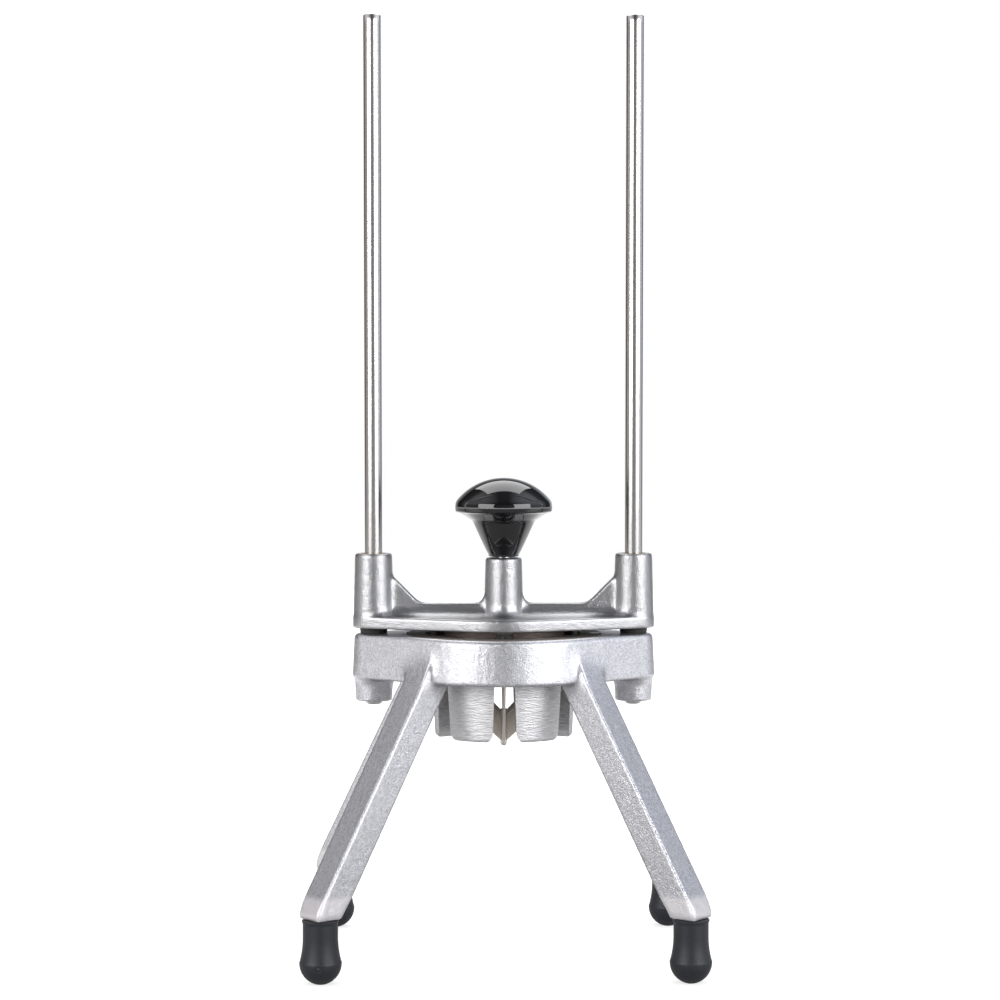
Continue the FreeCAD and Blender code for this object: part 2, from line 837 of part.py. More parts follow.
gusset_top_x = rod_x - dim.guide_boss_radius
gusset_foot_x = gusset_top_x - dim.gusset_rise / tangent(dim.gusset_angle)
gusset_blend = dim.gusset_fillet * tangent(dim.gusset_angle / 2)
blend_x = gusset_foot_x + gusset_blend * cosine(dim.gusset_angle)
blend_z = web_top + gusset_blend * sine(dim.gusset_angle)
flat_end_x = gusset_foot_x - gusset_blend
middle_x = dim.middle_boss_radius + dim.middle_fillet
middle_z = web_top + dim.middle_fillet
web_sketch = new_sketch(head, "web", "XZ_Plane")
outline(
    web_sketch,
    [
        (-rod_x, plate_bottom),
        (rod_x, plate_bottom),
        (rod_x, web_top + dim.gusset_rise),
        (gusset_top_x, web_top + dim.gusset_rise),
        (blend_x, blend_z, dim.gusset_fillet, "right"),
        (flat_end_x, web_top),
        (middle_x, web_top, dim.middle_fillet, "right"),
        (dim.middle_boss_radius, middle_z),
        (-dim.middle_boss_radius, middle_z, dim.middle_fillet, "right"),
        (-middle_x, web_top),
        (-flat_end_x, web_top, dim.gusset_fillet, "right"),
        (-blend_x, blend_z),
        (-gusset_top_x, web_top + dim.gusset_rise),
        (-rod_x, web_top + dim.gusset_rise),
    ],
)
pad(head, web_sketch, dim.web_thick, side="Symmetric")


def is_web_edge(edge):
    """The upper long edges of the web, from one gusset's slope to the other's."""
    box = edge.BoundBox
    lowest = web_top.number - SAME_PLACE
    sideways = abs(abs(edge.CenterOfMass.y) - dim.web_thick.number / 2) < SAME_PLACE
    return sideways and box.ZMin > lowest and box.XLength > SAME_PLACE


dress(head, "Fillet", "Radius", dim.web_edge_round, is_web_edge)

middle_sketch = new_sketch(head, "middle_boss", "XY_Plane", lift=plate_bottom)
circles(middle_sketch, [(0, 0, dim.middle_boss_radius)])
middle_height = dim.plate_thick + dim.middle_boss_height
pad(head, middle_sketch, middle_height, taper=-dim.boss_draft)
guide_sketch = new_sketch(head, "guide_bosses", "XY_Plane", lift=plate_bottom)
circles(guide_sketch, [(x, 0, dim.guide_boss_radius) for x in both_sides.values()])
pad(head, guide_sketch, dim.plate_thick + dim.guide_boss_height, taper=-dim.boss_draft)
dress(
    head,
    "Fillet",
    "Radius",
    dim.boss_edge_round,
    lambda e: at_level(e, guide_boss_top) or at_level(e, middle_boss_top),
)

bushing_seat_radius = bushing_radius + dim.press_clearance
for name, level, upward in (("upper", guide_boss_top, False), ("lower", plate_bottom, True)):
    seats = new_sketch(head, f"{name}_bushing_seats", "XY_Plane", lift=level)
    circles(seats, [(x, 0, bushing_seat_radius) for x in both_sides.values()])
    pocket(head, seats, dim.bushing_length, other_way=upward)
rod_passages = new_sketch(head, "rod_passages", "XY_Plane", lift=guide_boss_top)
circles(rod_passages, [(x, 0, guide_bore_radius) for x in both_sides.values()])
pocket(head, rod_passages)
spigot_seat = new_sketch(head, "spigot_seat", "XY_Plane", lift=plate_bottom)
circles(spigot_seat, [(0, 0, spigot_radius + dim.thread_clearance)])
pocket(head, spigot_seat, dim.spigot_thick, other_way=True)
head_screw_holes = new_sketch(head, "block_screw_holes", "XY_Plane", lift=plate_bottom)
circles(head_screw_holes, [(x, y, screw_hole_radius) for x, y in block_screw_places])
pocket(head, head_screw_holes, dim.block_screw_length + dim.screw_end_room, other_way=True)
knob_stud_hole = new_sketch(head, "knob_stud_hole", "XY_Plane", lift=middle_boss_top)
knob_thread_radius = dim.knob_stud_radius + dim.thread_clearance
circles(knob_stud_hole, [(0, 0, knob_thread_radius)])
pocket(head, knob_stud_hole, dim.knob_stud_in_boss)


# --- pusher: wedge block ------------------------------------------------------------------

block = turned(
    "pusher_block",
    [
        (0, finger_tip),
        (
            finger_tip_radius - dim.finger_tip_round,
            finger_tip,
            dim.finger_tip_round,
            "left",
        ),
        (finger_tip_radius, finger_tip + dim.finger_tip_round),
        (finger_root_radius, plate_bottom),
        (spigot_radius, plate_bottom),
        (spigot_radius, spigot_top),
        (0, spigot_top),
    ],
)
nodes.append(block)
slot_lean = (dim.slot_tip_width - dim.slot_root_width) / 2 / dim.finger_length
chamfer_run = dim.finger_length - dim.slot_chamfer_height
chamfer_half = dim.slot_root_width / 2 + slot_lean * chamfer_run
mouth_half = dim.slot_tip_width / 2 + dim.slot_chamfer_width
finger_slot_sketch = new_sketch(block, "slot", "XZ_Plane")
outline(
    finger_slot_sketch,
    [
        (-mouth_half, finger_tip),
        (mouth_half, finger_tip),
        (chamfer_half, finger_tip + dim.slot_chamfer_height),
        (dim.slot_root_width / 2, plate_bottom),
        (-dim.slot_root_width / 2, plate_bottom),
        (-chamfer_half, finger_tip + dim.slot_chamfer_height),
    ],
)
finger_slot = pocket(block, finger_slot_sketch)
around(block, finger_slot, WEDGE_COUNT)
countersunk(block, "screw_holes", block_screw_places, plate_bottom, None, True)

block_screws = []
for number, (x, y) in enumerate(block_screw_places, 1):
    screw = flat_screw(f"block_screw_{number}", dim.block_screw_length)
    block_screws.append(place(screw, x, y, plate_bottom, axis=(1, 0, 0), degrees=180.0))
group("pusher_block_screws", block_screws)


# --- pusher: guide bushings ----------------------------------------------------------------

bushing_bore = rod_radius + dim.running_clearance
bushing_corners = box_corners(bushing_bore, bushing_radius, 0, dim.bushing_length)
bushing_levels = {"upper": guide_boss_top - dim.bushing_length, "lower": plate_bottom}
for level_name, level in bushing_levels.items():
    for side_name, side_x in both_sides.items():
        bushing = turned(f"guide_bushing_{level_name}_{side_name}", bushing_corners)
        nodes.append(place(bushing, side_x, 0, level))


# --- pusher: knob, its insert and its stud -------------------------------------------------

dome_centre = dim.knob_length - dim.knob_dome_radius
dome_reach = dim.knob_dome_radius - dim.knob_rim_round
rim_x = dim.knob_radius - dim.knob_rim_round
rim_lift = root(dome_reach * dome_reach - rim_x * rim_x)
dome_share = dim.knob_dome_radius / dome_reach
rim_top = dome_centre + rim_lift
rim_bottom = rim_top - dim.knob_rim_band
under_edge = rim_bottom - dim.knob_under_round
insert_seat_radius = dim.insert_radius + dim.press_clearance
insert_in_knob = dim.insert_length - dim.knob_gap + dim.thread_clearance
knob = turned(
    "knob",
    [
        (insert_seat_radius, 0),
        (
            dim.knob_stem_bottom_radius - dim.knob_base_round,
            0,
            dim.knob_base_round,
            "left",
        ),
        (dim.knob_stem_bottom_radius, dim.knob_base_round),
        (dim.knob_stem_top_radius, under_edge - dim.knob_under_drop),
        (dim.knob_radius - dim.knob_under_round, under_edge, dim.knob_under_round, "left"),
        (dim.knob_radius, rim_bottom),
        (dim.knob_radius, rim_top, dim.knob_rim_round, "left"),
        (rim_x * dome_share, dome_centre + rim_lift * dome_share, dim.knob_dome_radius, "left"),
        (0, dim.knob_length),
        (0, insert_in_knob),
        (insert_seat_radius, insert_in_knob),
    ],
)
nodes.append(place(knob, z=knob_bottom))
insert_corners = box_corners(knob_thread_radius, dim.insert_radius, 0, dim.insert_length)
nodes.append(place(turned("knob_insert", insert_corners), z=middle_boss_top))
stud_length = dim.knob_stud_in_boss + dim.knob_stud_in_knob
knob_stud = turned("knob_stud", box_corners(0, dim.knob_stud_radius, 0, stud_length))
nodes.append(place(knob_stud, z=middle_boss_top - dim.knob_stud_in_boss))


# --- checks and STEP files -------------------------------------------------------------

doc.recompute()
failed = [o.Name for o in doc.Objects if "Invalid" in o.State or "Error" in o.State]
if failed:
    raise RuntimeError(f"these failed to recompute: {failed}")
os.makedirs("parts", exist_ok=True)
for node in nodes:
    if node.Shape.isNull() or not node.Shape.isValid():
        raise RuntimeError(f"{node.Label} has no valid shape")
    node.Shape.exportStep(f"parts/{node.Label}.step")
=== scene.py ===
"""Dresses an apple wedger press: cast, turned and polished surfaces over its fixed frame."""

import math
from types import SimpleNamespace

import bpy
import numpy as np
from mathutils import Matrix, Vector


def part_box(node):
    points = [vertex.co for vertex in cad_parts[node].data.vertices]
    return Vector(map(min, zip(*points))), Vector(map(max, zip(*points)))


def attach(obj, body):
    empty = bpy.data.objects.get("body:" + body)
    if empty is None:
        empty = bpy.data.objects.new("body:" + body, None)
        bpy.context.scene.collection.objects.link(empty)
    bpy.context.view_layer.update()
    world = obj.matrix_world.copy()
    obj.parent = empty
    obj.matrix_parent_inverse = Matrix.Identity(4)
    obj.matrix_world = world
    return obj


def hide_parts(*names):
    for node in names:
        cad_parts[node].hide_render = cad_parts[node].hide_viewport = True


bl_info = {
    "name": "Wedger press looks",
    "version": (1, 0, 0),
    "blender": (4, 5, 0),
    "location": "View3D > Sidebar > Wedger press",
    "description": "Gives a wedger press its detailed shapes and its finishes",
    "category": "Object",
}

MM = 0.001
WHITE = (1, 1, 1, 1)

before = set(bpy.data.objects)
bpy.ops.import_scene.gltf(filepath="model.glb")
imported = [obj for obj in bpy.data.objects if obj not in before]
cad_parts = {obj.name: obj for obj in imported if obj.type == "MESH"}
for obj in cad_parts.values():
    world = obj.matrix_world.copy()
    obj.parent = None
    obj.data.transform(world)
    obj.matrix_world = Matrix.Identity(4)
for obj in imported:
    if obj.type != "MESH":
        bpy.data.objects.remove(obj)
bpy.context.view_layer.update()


# --- sizes ----------------------------


def measured(node):
    """Where a CAD node is, in millimetres: its middle, half its width, its ends in height."""
    low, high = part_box(node)
    return SimpleNamespace(
        x=(low.x + high.x) / 2 / MM,
        y=(low.y + high.y) / 2 / MM,
        radius=(high.x - low.x) / 2 / MM,
        bottom=low.z / MM,
        top=high.z / MM,
    )


def linear(code):
    """An sRGB hex colour as linear red, green and blue."""
    shares = [int(code[i : i + 2], 16) / 255 for i in (1, 3, 5)]
    return [s / 12.92 if s <= 0.04045 else ((s + 0.055) / 1.055) ** 2.4 for s in shares]


def colour(name, description, code):
    return bpy.props.FloatVectorProperty(
        name=name,
        description=description,
        subtype="COLOR",
        size=3,
        min=0,
        max=1,
        default=linear(code),
    )


def length(name, description, millimetres):
    return bpy.props.FloatProperty(
        name=name,
        description=description,
        subtype="DISTANCE",
        unit="LENGTH",
        min=0,
        precision=5,
        default=millimetres * MM,
    )


def radiance(name, description, default):
    return bpy.props.FloatProperty(name=name, description=description, min=0, default=default)


class CastingSettings(bpy.types.PropertyGroup):
    metal: colour("Frame", "Colour of the frame's cast aluminium", "#D8D8DB")
    dust: colour("Dull grains", "Colour of the frame's duller grains", "#B4B4BA")
    ground: colour("Ground ends", "Colour of the legs' ground ends", "#DEDBDE")
    head: colour("Head", "Colour of the head's burnished aluminium", "#B6B6B8")
    frame_grain: length("Frame grain", "Width of the frame's sand grains", 0.52)
    head_grain: length("Head grain", "Width of the head's tumbled dents", 0.55)
    frame_voxel: length("Frame detail", "Spacing of points on the frame's skin", 0.65)
    head_voxel: length("Head detail", "Spacing of points on the head's skin", 0.5)
    skin_depth: length("Skin waves", "Height of the waves in the cast skin", 0.022)


class BlockSettings(bpy.types.PropertyGroup):
    metal: colour("Metal", "Colour of the turned aluminium", "#D8D7D9")
    groove_pitch: length("Groove pitch", "Height of one turning groove", 0.98)
    groove_depth: length("Groove depth", "Depth of one turning groove", 0.1)


class SteelSettings(bpy.types.PropertyGroup):
    rod: colour("Rods", "Colour of the polished rods", "#D4D2D0")
    blade: colour("Blades", "Colour of the rolled blade strip", "#EDE7DF")
    clamp: colour("Clamp ring", "Colour of the blackened clamp ring", "#8A827B")
    screw: colour("Screws", "Colour of the plated screws", "#BDBDBE")
    bronze: colour("Bushings", "Colour of the sintered bronze", "#9A7442")
    brass: colour("Insert", "Colour of the knob's plated insert", "#C6C5C2")


class BlackSettings(bpy.types.PropertyGroup):
    phenolic: colour("Knob", "Colour of the phenolic", "#08080A")
    flash: colour("Flash line", "Colour of the filed phenolic", "#6C6C72")
    rubber: colour("Feet", "Colour of the feet's rubber", "#16181F")
    bumper: colour("Bumpers", "Colour of the bumpers' rubber", "#1A1919")
    parting_ridge: length("Parting ridge", "How far the knob's flash line stands out", 0.12)


class StudioSettings(bpy.types.PropertyGroup):
    left: radiance("Left light", "Radiance of the softbox on the left", 5.06)
    right: radiance("Right light", "Radiance of the softbox on the right", 5.225)
    overhead: radiance("Top light", "Radiance of the softbox overhead", 3.0)
    surround: radiance("Surround", "Radiance of the soft light from all round", 0.35)
    walls: radiance("Walls", "Radiance of the studio walls", 1.25)
    warm: colour("Left wall", "Tone of the studio on the left", "#B4AFAD")
    cool: colour("Right wall", "Tone of the studio on the right", "#E4E9F2")


GROUPS = {
    "press_casting": CastingSettings,
    "press_block": BlockSettings,
    "press_steel": SteelSettings,
    "press_black": BlackSettings,
    "press_studio": StudioSettings,
}


# --- meshes ---------------------------


def new_object(name, data):
    item = bpy.data.objects.new(name, data)
    bpy.context.scene.collection.objects.link(item)
    return item


def new_piece(name, points, faces, sharp=35):
    """A smooth-shaded mesh object from points in millimetres."""
    mesh = bpy.data.meshes.new(name)
    mesh.from_pydata([tuple(c * MM for c in p) for p in points], [], faces)
    mesh.validate()
    mesh.shade_smooth()
    mesh.set_sharp_from_angle(angle=math.radians(sharp))
    return new_object(name, mesh)


def stand_for(piece, node, body, material):
    """A piece takes a CAD node's place on its body, with its finish."""
    piece.data.materials.clear()
    piece.data.materials.append(material)
    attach(piece, body)
    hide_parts(node)


def finish_node(node, material):
    """A CAD node keeps its shape and takes a finish."""
    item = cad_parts[node]
    for material_slot in item.material_slots:
        material_slot.material = material
    if not item.material_slots:
        item.data.materials.append(material)


def arc(centre, radius, first, last, steps):
    """Points along an arc in the profile plane, with its angles in degrees."""
    angles = [math.radians(first + (last - first) * k / steps) for k in range(steps + 1)]
    return [(centre[0] + radius * math.cos(a), centre[1] + radius * math.sin(a)) for a in angles]


def divided(profile, longest):
    """A profile whose straight runs are cut so that none is over a length."""
    points = [profile[0]]
    for (r0, z0), (r1, z1) in zip(profile, profile[1:]):
        cuts = max(1, math.ceil(math.hypot(r1 - r0, z1 - z0) / longest))
        for k in range(1, cuts + 1):
            points.append((r0 + (r1 - r0) * k / cuts, z0 + (z1 - z0) * k / cuts))
    return points


def turned(name, profile, x=0.0, y=0.0, segments=128, ring=False):
    """A piece turned about an upright axis. Its profile runs up the outside, from axis to
    axis, or round a ring's section."""
    points, rows, faces = [], [], []
    for radius, height in profile:
        count = segments if radius > 1e-6 else 1
        rows.append(range(len(points), len(points) + count))
        for k in range(count):
            turn = 2 * math.pi * k / segments
            points.append((x + radius * math.cos(turn), y + radius * math.sin(turn), height))
    for lower, upper in zip(rows, rows[1:] + (rows[:1] if ring else [])):
        for k in range(segments):
            follow = (k + 1) % segments
            corners = [lower[k % len(lower)], lower[follow % len(lower)]]
            corners += [upper[follow % len(upper)], upper[k % len(upper)]]
            faces.append(tuple(dict.fromkeys(corners)))
    return new_piece(name, points, faces)


def gathered(mesh, kind):
    """The places or the normals of a mesh's points, as an array."""
    flat = np.empty(len(mesh.vertices) * 3, np.float32)
    mesh.vertices.foreach_get(kind, flat)
    return flat.reshape(-1, 3).astype(float)


def places(mesh):
    """The places of a mesh's points in millimetres."""
    return gathered(mesh, "co") / MM


def put_back(mesh, spots):
    mesh.vertices.foreach_set("co", (spots * MM).astype(np.float32).ravel())
    mesh.update()


def close_stack(first, rows, count):
    """The faces of a closed stack of rows of points, all of one count, from a first point."""
    faces = []
    for low in range(first, first + (rows - 1) * count, count):
        for k in range(count):
            follow = (k + 1) % count
            faces.append((low + k, low + follow, low + count + follow, low + count + k))
    last = first + (rows - 1) * count
    faces.append(tuple(range(first, first + count))[::-1])
    faces.append(tuple(range(last, last + count)))
    return faces


def recast(node, voxel):
    """A copy of a casting's CAD shape in even, fine faces."""
    piece = new_object(f"{node}_casting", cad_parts[node].data.copy())
    grid = piece.modifiers.new("Grid", "REMESH")
    grid.mode = "VOXEL"
    grid.voxel_size = voxel
    grid.use_smooth_shade = True
    bpy.context.view_layer.update()
    built = piece.evaluated_get(bpy.context.evaluated_depsgraph_get())
    mesh = bpy.data.meshes.new_from_object(built)
    piece.modifiers.clear()
    piece.data = mesh
    return piece


def relax(mesh, passes, weight, side=0):
    """Draws points towards their neighbours' middle, each by its weight. Side 1 keeps only
    moves outwards, which fill a corner, and side -1 only those inwards, which round an
    edge off."""
    spots = places(mesh)
    count = len(spots)
    ends = np.empty(len(mesh.edges) * 2, np.int32)
    mesh.edges.foreach_get("vertices", ends)
    first, second = ends.reshape(-1, 2).T
    linked = np.bincount(first, minlength=count) + np.bincount(second, minlength=count)
    linked = np.maximum(linked, 1)[:, None]
    renewed = 4
    for number in range(passes):
        if side and number % renewed == 0:
            put_back(mesh, spots)
            outward = gathered(mesh, "normal")
        total = np.empty_like(spots)
        for axis in range(3):
            total[:, axis] = np.bincount(first, spots[second, axis], count)
            total[:, axis] += np.bincount(second, spots[first, axis], count)
        move = (total / linked - spots) * weight[:, None] / 2
        if side:
            reach = (move * outward).sum(1)
            reach = np.maximum(reach, 0) if side > 0 else np.minimum(reach, 0)
            move = outward * reach[:, None]
        spots += move
    put_back(mesh, spots)


def spread_foot(mesh, walls, floor, run, rise):
    """Turns the corner between a floor and the walls that stand on it into a hollow quarter
    ellipse. Walls gives each point's distance from them and the way straight out."""
    deep, sunk = 1, 0.4
    spots = places(mesh)
    away, out = walls(spots)
    height = spots[:, 2] - floor
    across, up = 1 - away / run, 1 - height / rise
    reach = np.hypot(across, up)
    corner = (away > -deep) & (away < run) & (height > -sunk) & (height < rise) & (reach > 1)
    shrink = 1 / reach[corner]
    spots[corner, :2] += out[corner] * (run * across[corner] * (1 - shrink))[:, None]
    spots[corner, 2] += rise * up[corner] * (1 - shrink)
    put_back(mesh, spots)


def waves(spots, wavelength, seed, count=28):
    """Smooth random ups and downs of about one wavelength, from -1 to 1 or so."""
    chance = np.random.default_rng(seed)
    ways = chance.normal(size=(count, 3))
    ways /= np.linalg.norm(ways, axis=1)[:, None]
    lengths = wavelength * chance.uniform(0.7, 1.6, count)
    phases = chance.uniform(0, 2 * math.pi, count)
    crests = np.sin(spots @ (ways * (2 * math.pi / lengths)[:, None]).T + phases)
    return crests.sum(1) / math.sqrt(count)


def ripple(mesh, height, wavelength, seed):
    """Gives a skin the shallow waves of a casting."""
    spots = places(mesh)
    rise = waves(spots, wavelength, seed)[:, None] * height
    put_back(mesh, spots + gathered(mesh, "normal") * rise)


# --- materials ------------------------


def add_node(tree, kind, inputs=None, **settings):
    """Adds one node, with its settings, and fills or links its inputs."""
    node = tree.nodes.new(kind)
    for name, amount in settings.items():
        setattr(node, name, amount)
    for name, amount in (inputs or {}).items():
        if isinstance(amount, bpy.types.NodeSocket):
            tree.links.new(amount, node.inputs[name])
        else:
            node.inputs[name].default_value = amount
    return node


def empty_tree(owner):
    """The node tree of a new material or world, with nothing in it."""
    owner.use_nodes = True
    owner.node_tree.nodes.clear()
    return owner.node_tree


def new_material(name, **constants):
    """A material with one Principled shader, whose plain numbers and colours are set on it."""
    material = bpy.data.materials.new(name)
    tree = empty_tree(material)
    shader = add_node(tree, "ShaderNodeBsdfPrincipled")
    for title, amount in constants.items():
        socket = shader.inputs[title.replace("_", " ")]
        socket.default_value = (*amount, 1) if hasattr(amount, "__len__") else amount
    add_node(tree, "ShaderNodeOutputMaterial", {"Surface": shader.outputs["BSDF"]})
    spot = add_node(tree, "ShaderNodeTexCoord").outputs["Object"]
    return SimpleNamespace(material=material, tree=tree, shader=shader, spot=spot)


def rough_between(made, height, smoothest, roughest):
    """The roughness at a height of a quarter and at one of three quarters."""
    ends = {"From Min": 0.25, "From Max": 0.75, "To Min": smoothest, "To Max": roughest}
    spread = add_node(made.tree, "ShaderNodeMapRange", {"Value": height, **ends})
    made.tree.links.new(spread.outputs[0], made.shader.inputs["Roughness"])


def colour_between(made, height, one, other):
    """The colour at a height of 0 and at one of 1."""
    mixed = add_node(
        made.tree, "ShaderNodeMix", {0: height, 6: (*one, 1), 7: (*other, 1)}, data_type="RGBA"
    )
    made.tree.links.new(mixed.outputs[2], made.shader.inputs["Base Color"])


def raise_by(made, steps):
    """Stacks bumps, each a height and its depth in millimetres, on the shader."""
    under = None
    for height, depth in steps:
        inputs = {"Height": height, "Distance": depth * MM}
        if under is not None:
            inputs["Normal"] = under
        under = add_node(made.tree, "ShaderNodeBump", inputs).outputs["Normal"]
    made.tree.links.new(under, made.shader.inputs["Normal"])


def sand_cast_aluminium(settings, ground_below):
    """Aluminium poured in a sand mould and tumbled: an even, matt grain in which single
    faces flash, over slight pits. Below a ragged height the grinder left it paler."""
    made = new_material("sand_cast_aluminium_tumbled", Metallic=1.0)
    tree, spot = made.tree, made.spot
    size = settings.frame_grain
    rag, ground_over, ground_under, haze = 2 * MM, 2.2 * MM, 0.4 * MM, 0.35
    grain = add_node(tree, "ShaderNodeTexNoise", {"Vector": spot, "Scale": 1 / size, "Detail": 1.0})
    pits = add_node(
        tree, "ShaderNodeTexNoise", {"Vector": spot, "Scale": 1 / (size * 4), "Detail": 2.0}
    )
    flecks = add_node(tree, "ShaderNodeTexVoronoi", {"Vector": spot, "Scale": 1 / (size * 1.3)})
    tone = add_node(tree, "ShaderNodeSeparateColor", {"Color": flecks.outputs["Color"]})
    colour_between(made, tone.outputs[0], settings.metal, settings.dust)
    up = add_node(tree, "ShaderNodeSeparateXYZ", {"Vector": spot}).outputs["Z"]
    ragged = add_node(
        tree, "ShaderNodeMath", {0: pits.outputs[0], 1: rag, 2: up}, operation="MULTIPLY_ADD"
    )
    ends = {"From Min": ground_below + ground_over, "From Max": ground_below - ground_under}
    ground = add_node(tree, "ShaderNodeMapRange", {"Value": ragged.outputs[0], **ends})
    base = made.shader.inputs["Base Color"]
    paler = add_node(
        tree,
        "ShaderNodeMix",
        {0: ground.outputs[0], 6: base.links[0].from_socket, 7: (*settings.ground, 1)},
        data_type="RGBA",
    )
    tree.links.new(paler.outputs[2], base)
    scattered = add_node(
        tree, "ShaderNodeMath", {0: ground.outputs[0], 1: -haze, 2: 1.0}, operation="MULTIPLY_ADD"
    )
    tree.links.new(scattered.outputs[0], made.shader.inputs["Metallic"])
    rough_between(made, grain.outputs[0], 0.3, 0.42)
    raise_by(made, [(pits.outputs[0], 0.05), (grain.outputs[0], 0.16)])
    return made.material


def tumbled_cast_aluminium(settings):
    """The same metal tumbled for longer: a soft shine over many small rounded dents."""
    made = new_material("cast_aluminium_burnished", Metallic=1.0)
    tree, spot = made.tree, made.spot
    size = settings.head_grain
    dents = add_node(tree, "ShaderNodeTexNoise", {"Vector": spot, "Scale": 1 / size, "Detail": 0.6})
    swells = add_node(
        tree, "ShaderNodeTexNoise", {"Vector": spot, "Scale": 1 / (size * 5), "Detail": 1.0}
    )
    darker = [c * 0.75 for c in settings.head]
    colour_between(made, dents.outputs[0], darker, settings.head)
    rough_between(made, dents.outputs[0], 0.37, 0.29)
    raise_by(made, [(swells.outputs[0], 0.06), (dents.outputs[0], 0.15)])
    return made.material


def turned_aluminium(name, metal, pitch, smoothest, painted_shade_from=0):
    """Aluminium off the lathe: level tool lines, finer than the grooves in the mesh, that draw
    highlights out upright. Above a height, painted shade: a dull dark brown band."""
    made = new_material(name, Metallic=0.72, Anisotropic=0.4, Anisotropic_Rotation=0.25)
    tree, spot = made.tree, made.spot
    stretch, painted_shade_blend, brown = 0.22, 0.3 * MM, (0.11, 0.085, 0.075)
    around = add_node(tree, "ShaderNodeTangent", direction_type="RADIAL", axis="Z")
    tree.links.new(around.outputs["Tangent"], made.shader.inputs["Tangent"])
    squeeze = add_node(
        tree, "ShaderNodeMapping", {"Vector": spot, "Scale": (stretch, stretch, 1.0)}
    )
    lines = add_node(
        tree,
        "ShaderNodeTexNoise",
        {
            "Vector": squeeze.outputs[0],
            "Scale": 1 / pitch,
            "Detail": 3.0,
            "Roughness": 0.6,
            "Distortion": 0.35,
        },
    )
    darker = [c * 0.86 for c in metal]
    # Above a given height the colour is painted shade, a dark brown that stands for the shade in a
    # narrow gap; otherwise the colour varies at random.
    if painted_shade_from:
        up = add_node(tree, "ShaderNodeSeparateXYZ", {"Vector": spot}).outputs["Z"]
        ends = {"From Min": painted_shade_from, "From Max": painted_shade_from + painted_shade_blend}
        skin = add_node(tree, "ShaderNodeMapRange", {"Value": up, **ends})
        darker = [c * k for c, k in zip(metal, brown)]
    else:
        skin = add_node(
            tree, "ShaderNodeTexNoise", {"Vector": spot, "Scale": 1 / (pitch * 5), "Detail": 1.0}
        )
    colour_between(made, skin.outputs[0], metal, darker)
    shade = add_node(
        tree,
        "ShaderNodeMapRange",
        {"Value": lines.outputs[0], "From Min": 0.35, "From Max": 0.6, "To Min": 0.78},
    )
    base = made.shader.inputs["Base Color"]
    lined = add_node(
        tree,
        "ShaderNodeVectorMath",
        {0: base.links[0].from_socket, "Scale": shade.outputs[0]},
        operation="SCALE",
    )
    tree.links.new(lined.outputs["Vector"], base)
    rough_between(made, lines.outputs[0], smoothest, smoothest + 0.12)
    raise_by(made, [(lines.outputs[0], 0.42)])
    return made.material


def drawn_steel(name, metal, smoothest, across, metallic=1.0):
    """Stainless steel with polishing or rolling lines one way: along X, Y and Z, across is 1
    where the lines are thin and less where they run long."""
    made = new_material(name, Metallic=metallic)
    tree, spot = made.tree, made.spot
    line_width = 0.5 * MM
    squeeze = add_node(tree, "ShaderNodeMapping", {"Vector": spot, "Scale": across})
    lines = add_node(
        tree,
        "ShaderNodeTexNoise",
        {"Vector": squeeze.outputs[0], "Scale": 1 / line_width, "Detail": 2.0},
    )
    darker = [c * 0.92 for c in metal]
    colour_between(made, lines.outputs[0], metal, darker)
    rough_between(made, lines.outputs[0], smoothest, smoothest + 0.05)
    raise_by(made, [(lines.outputs[0], 0.002)])
    return made.material


def plain_metal(name, metal, smoothest, grain):
    """A small metal piece with a faint grain of a size in millimetres."""
    made = new_material(name, Metallic=1.0)
    tree, spot = made.tree, made.spot
    specks = add_node(
        tree, "ShaderNodeTexNoise", {"Vector": spot, "Scale": 1 / (grain * MM), "Detail": 2.0}
    )
    darker = [c * 0.8 for c in metal]
    colour_between(made, specks.outputs[0], metal, darker)
    rough_between(made, specks.outputs[0], smoothest, smoothest + 0.15)
    raise_by(made, [(specks.outputs[0], 0.01)])
    return made.material


def moulded_phenolic(settings, parting):
    """Phenolic resin from a polished mould: deep black under a hard gloss, with the faint
    waviness of the moulded skin. At the parting height the flash was filed off, which left
    a dull grey line."""
    made = new_material("phenolic_moulded_gloss", IOR=1.6)
    tree, spot = made.tree, made.spot
    waviness, line_edge, line_core = 7 * MM, 0.34 * MM, 0.16 * MM
    skin = add_node(
        tree, "ShaderNodeTexNoise", {"Vector": spot, "Scale": 1 / waviness, "Detail": 1.0}
    )
    up = add_node(tree, "ShaderNodeSeparateXYZ", {"Vector": spot}).outputs["Z"]
    above = add_node(tree, "ShaderNodeMath", {0: up, 1: parting}, operation="SUBTRACT")
    away = add_node(tree, "ShaderNodeMath", {0: above.outputs[0]}, operation="ABSOLUTE")
    ends = {"From Min": line_edge, "From Max": line_core}
    filed = add_node(tree, "ShaderNodeMapRange", {"Value": away.outputs[0], **ends})
    colour_between(made, filed.outputs[0], settings.phenolic, settings.flash)
    rough_between(made, filed.outputs[0], 0.04, 0.5)
    raise_by(made, [(skin.outputs[0], 0.015)])
    return made.material


def moulded_rubber(name, base, smoothest, grain):
    """Black rubber as moulded: a satin skin of a grain in millimetres, with a bloom of dust."""
    made = new_material(name, IOR=1.5, Sheen_Weight=0.06, Sheen_Roughness=0.5)
    tree, spot = made.tree, made.spot
    bloom = add_node(
        tree, "ShaderNodeTexNoise", {"Vector": spot, "Scale": 1 / (grain * 6 * MM), "Detail": 3.0}
    )
    skin = add_node(
        tree, "ShaderNodeTexNoise", {"Vector": spot, "Scale": 1 / (grain * MM), "Detail": 2.0}
    )
    greyer = [c * 1.5 + 0.002 for c in base]
    colour_between(made, bloom.outputs[0], base, greyer)
    rough_between(made, bloom.outputs[0], smoothest, smoothest + 0.14)
    raise_by(made, [(skin.outputs[0], 0.02)])
    return made.material


# --- operators ------------------------


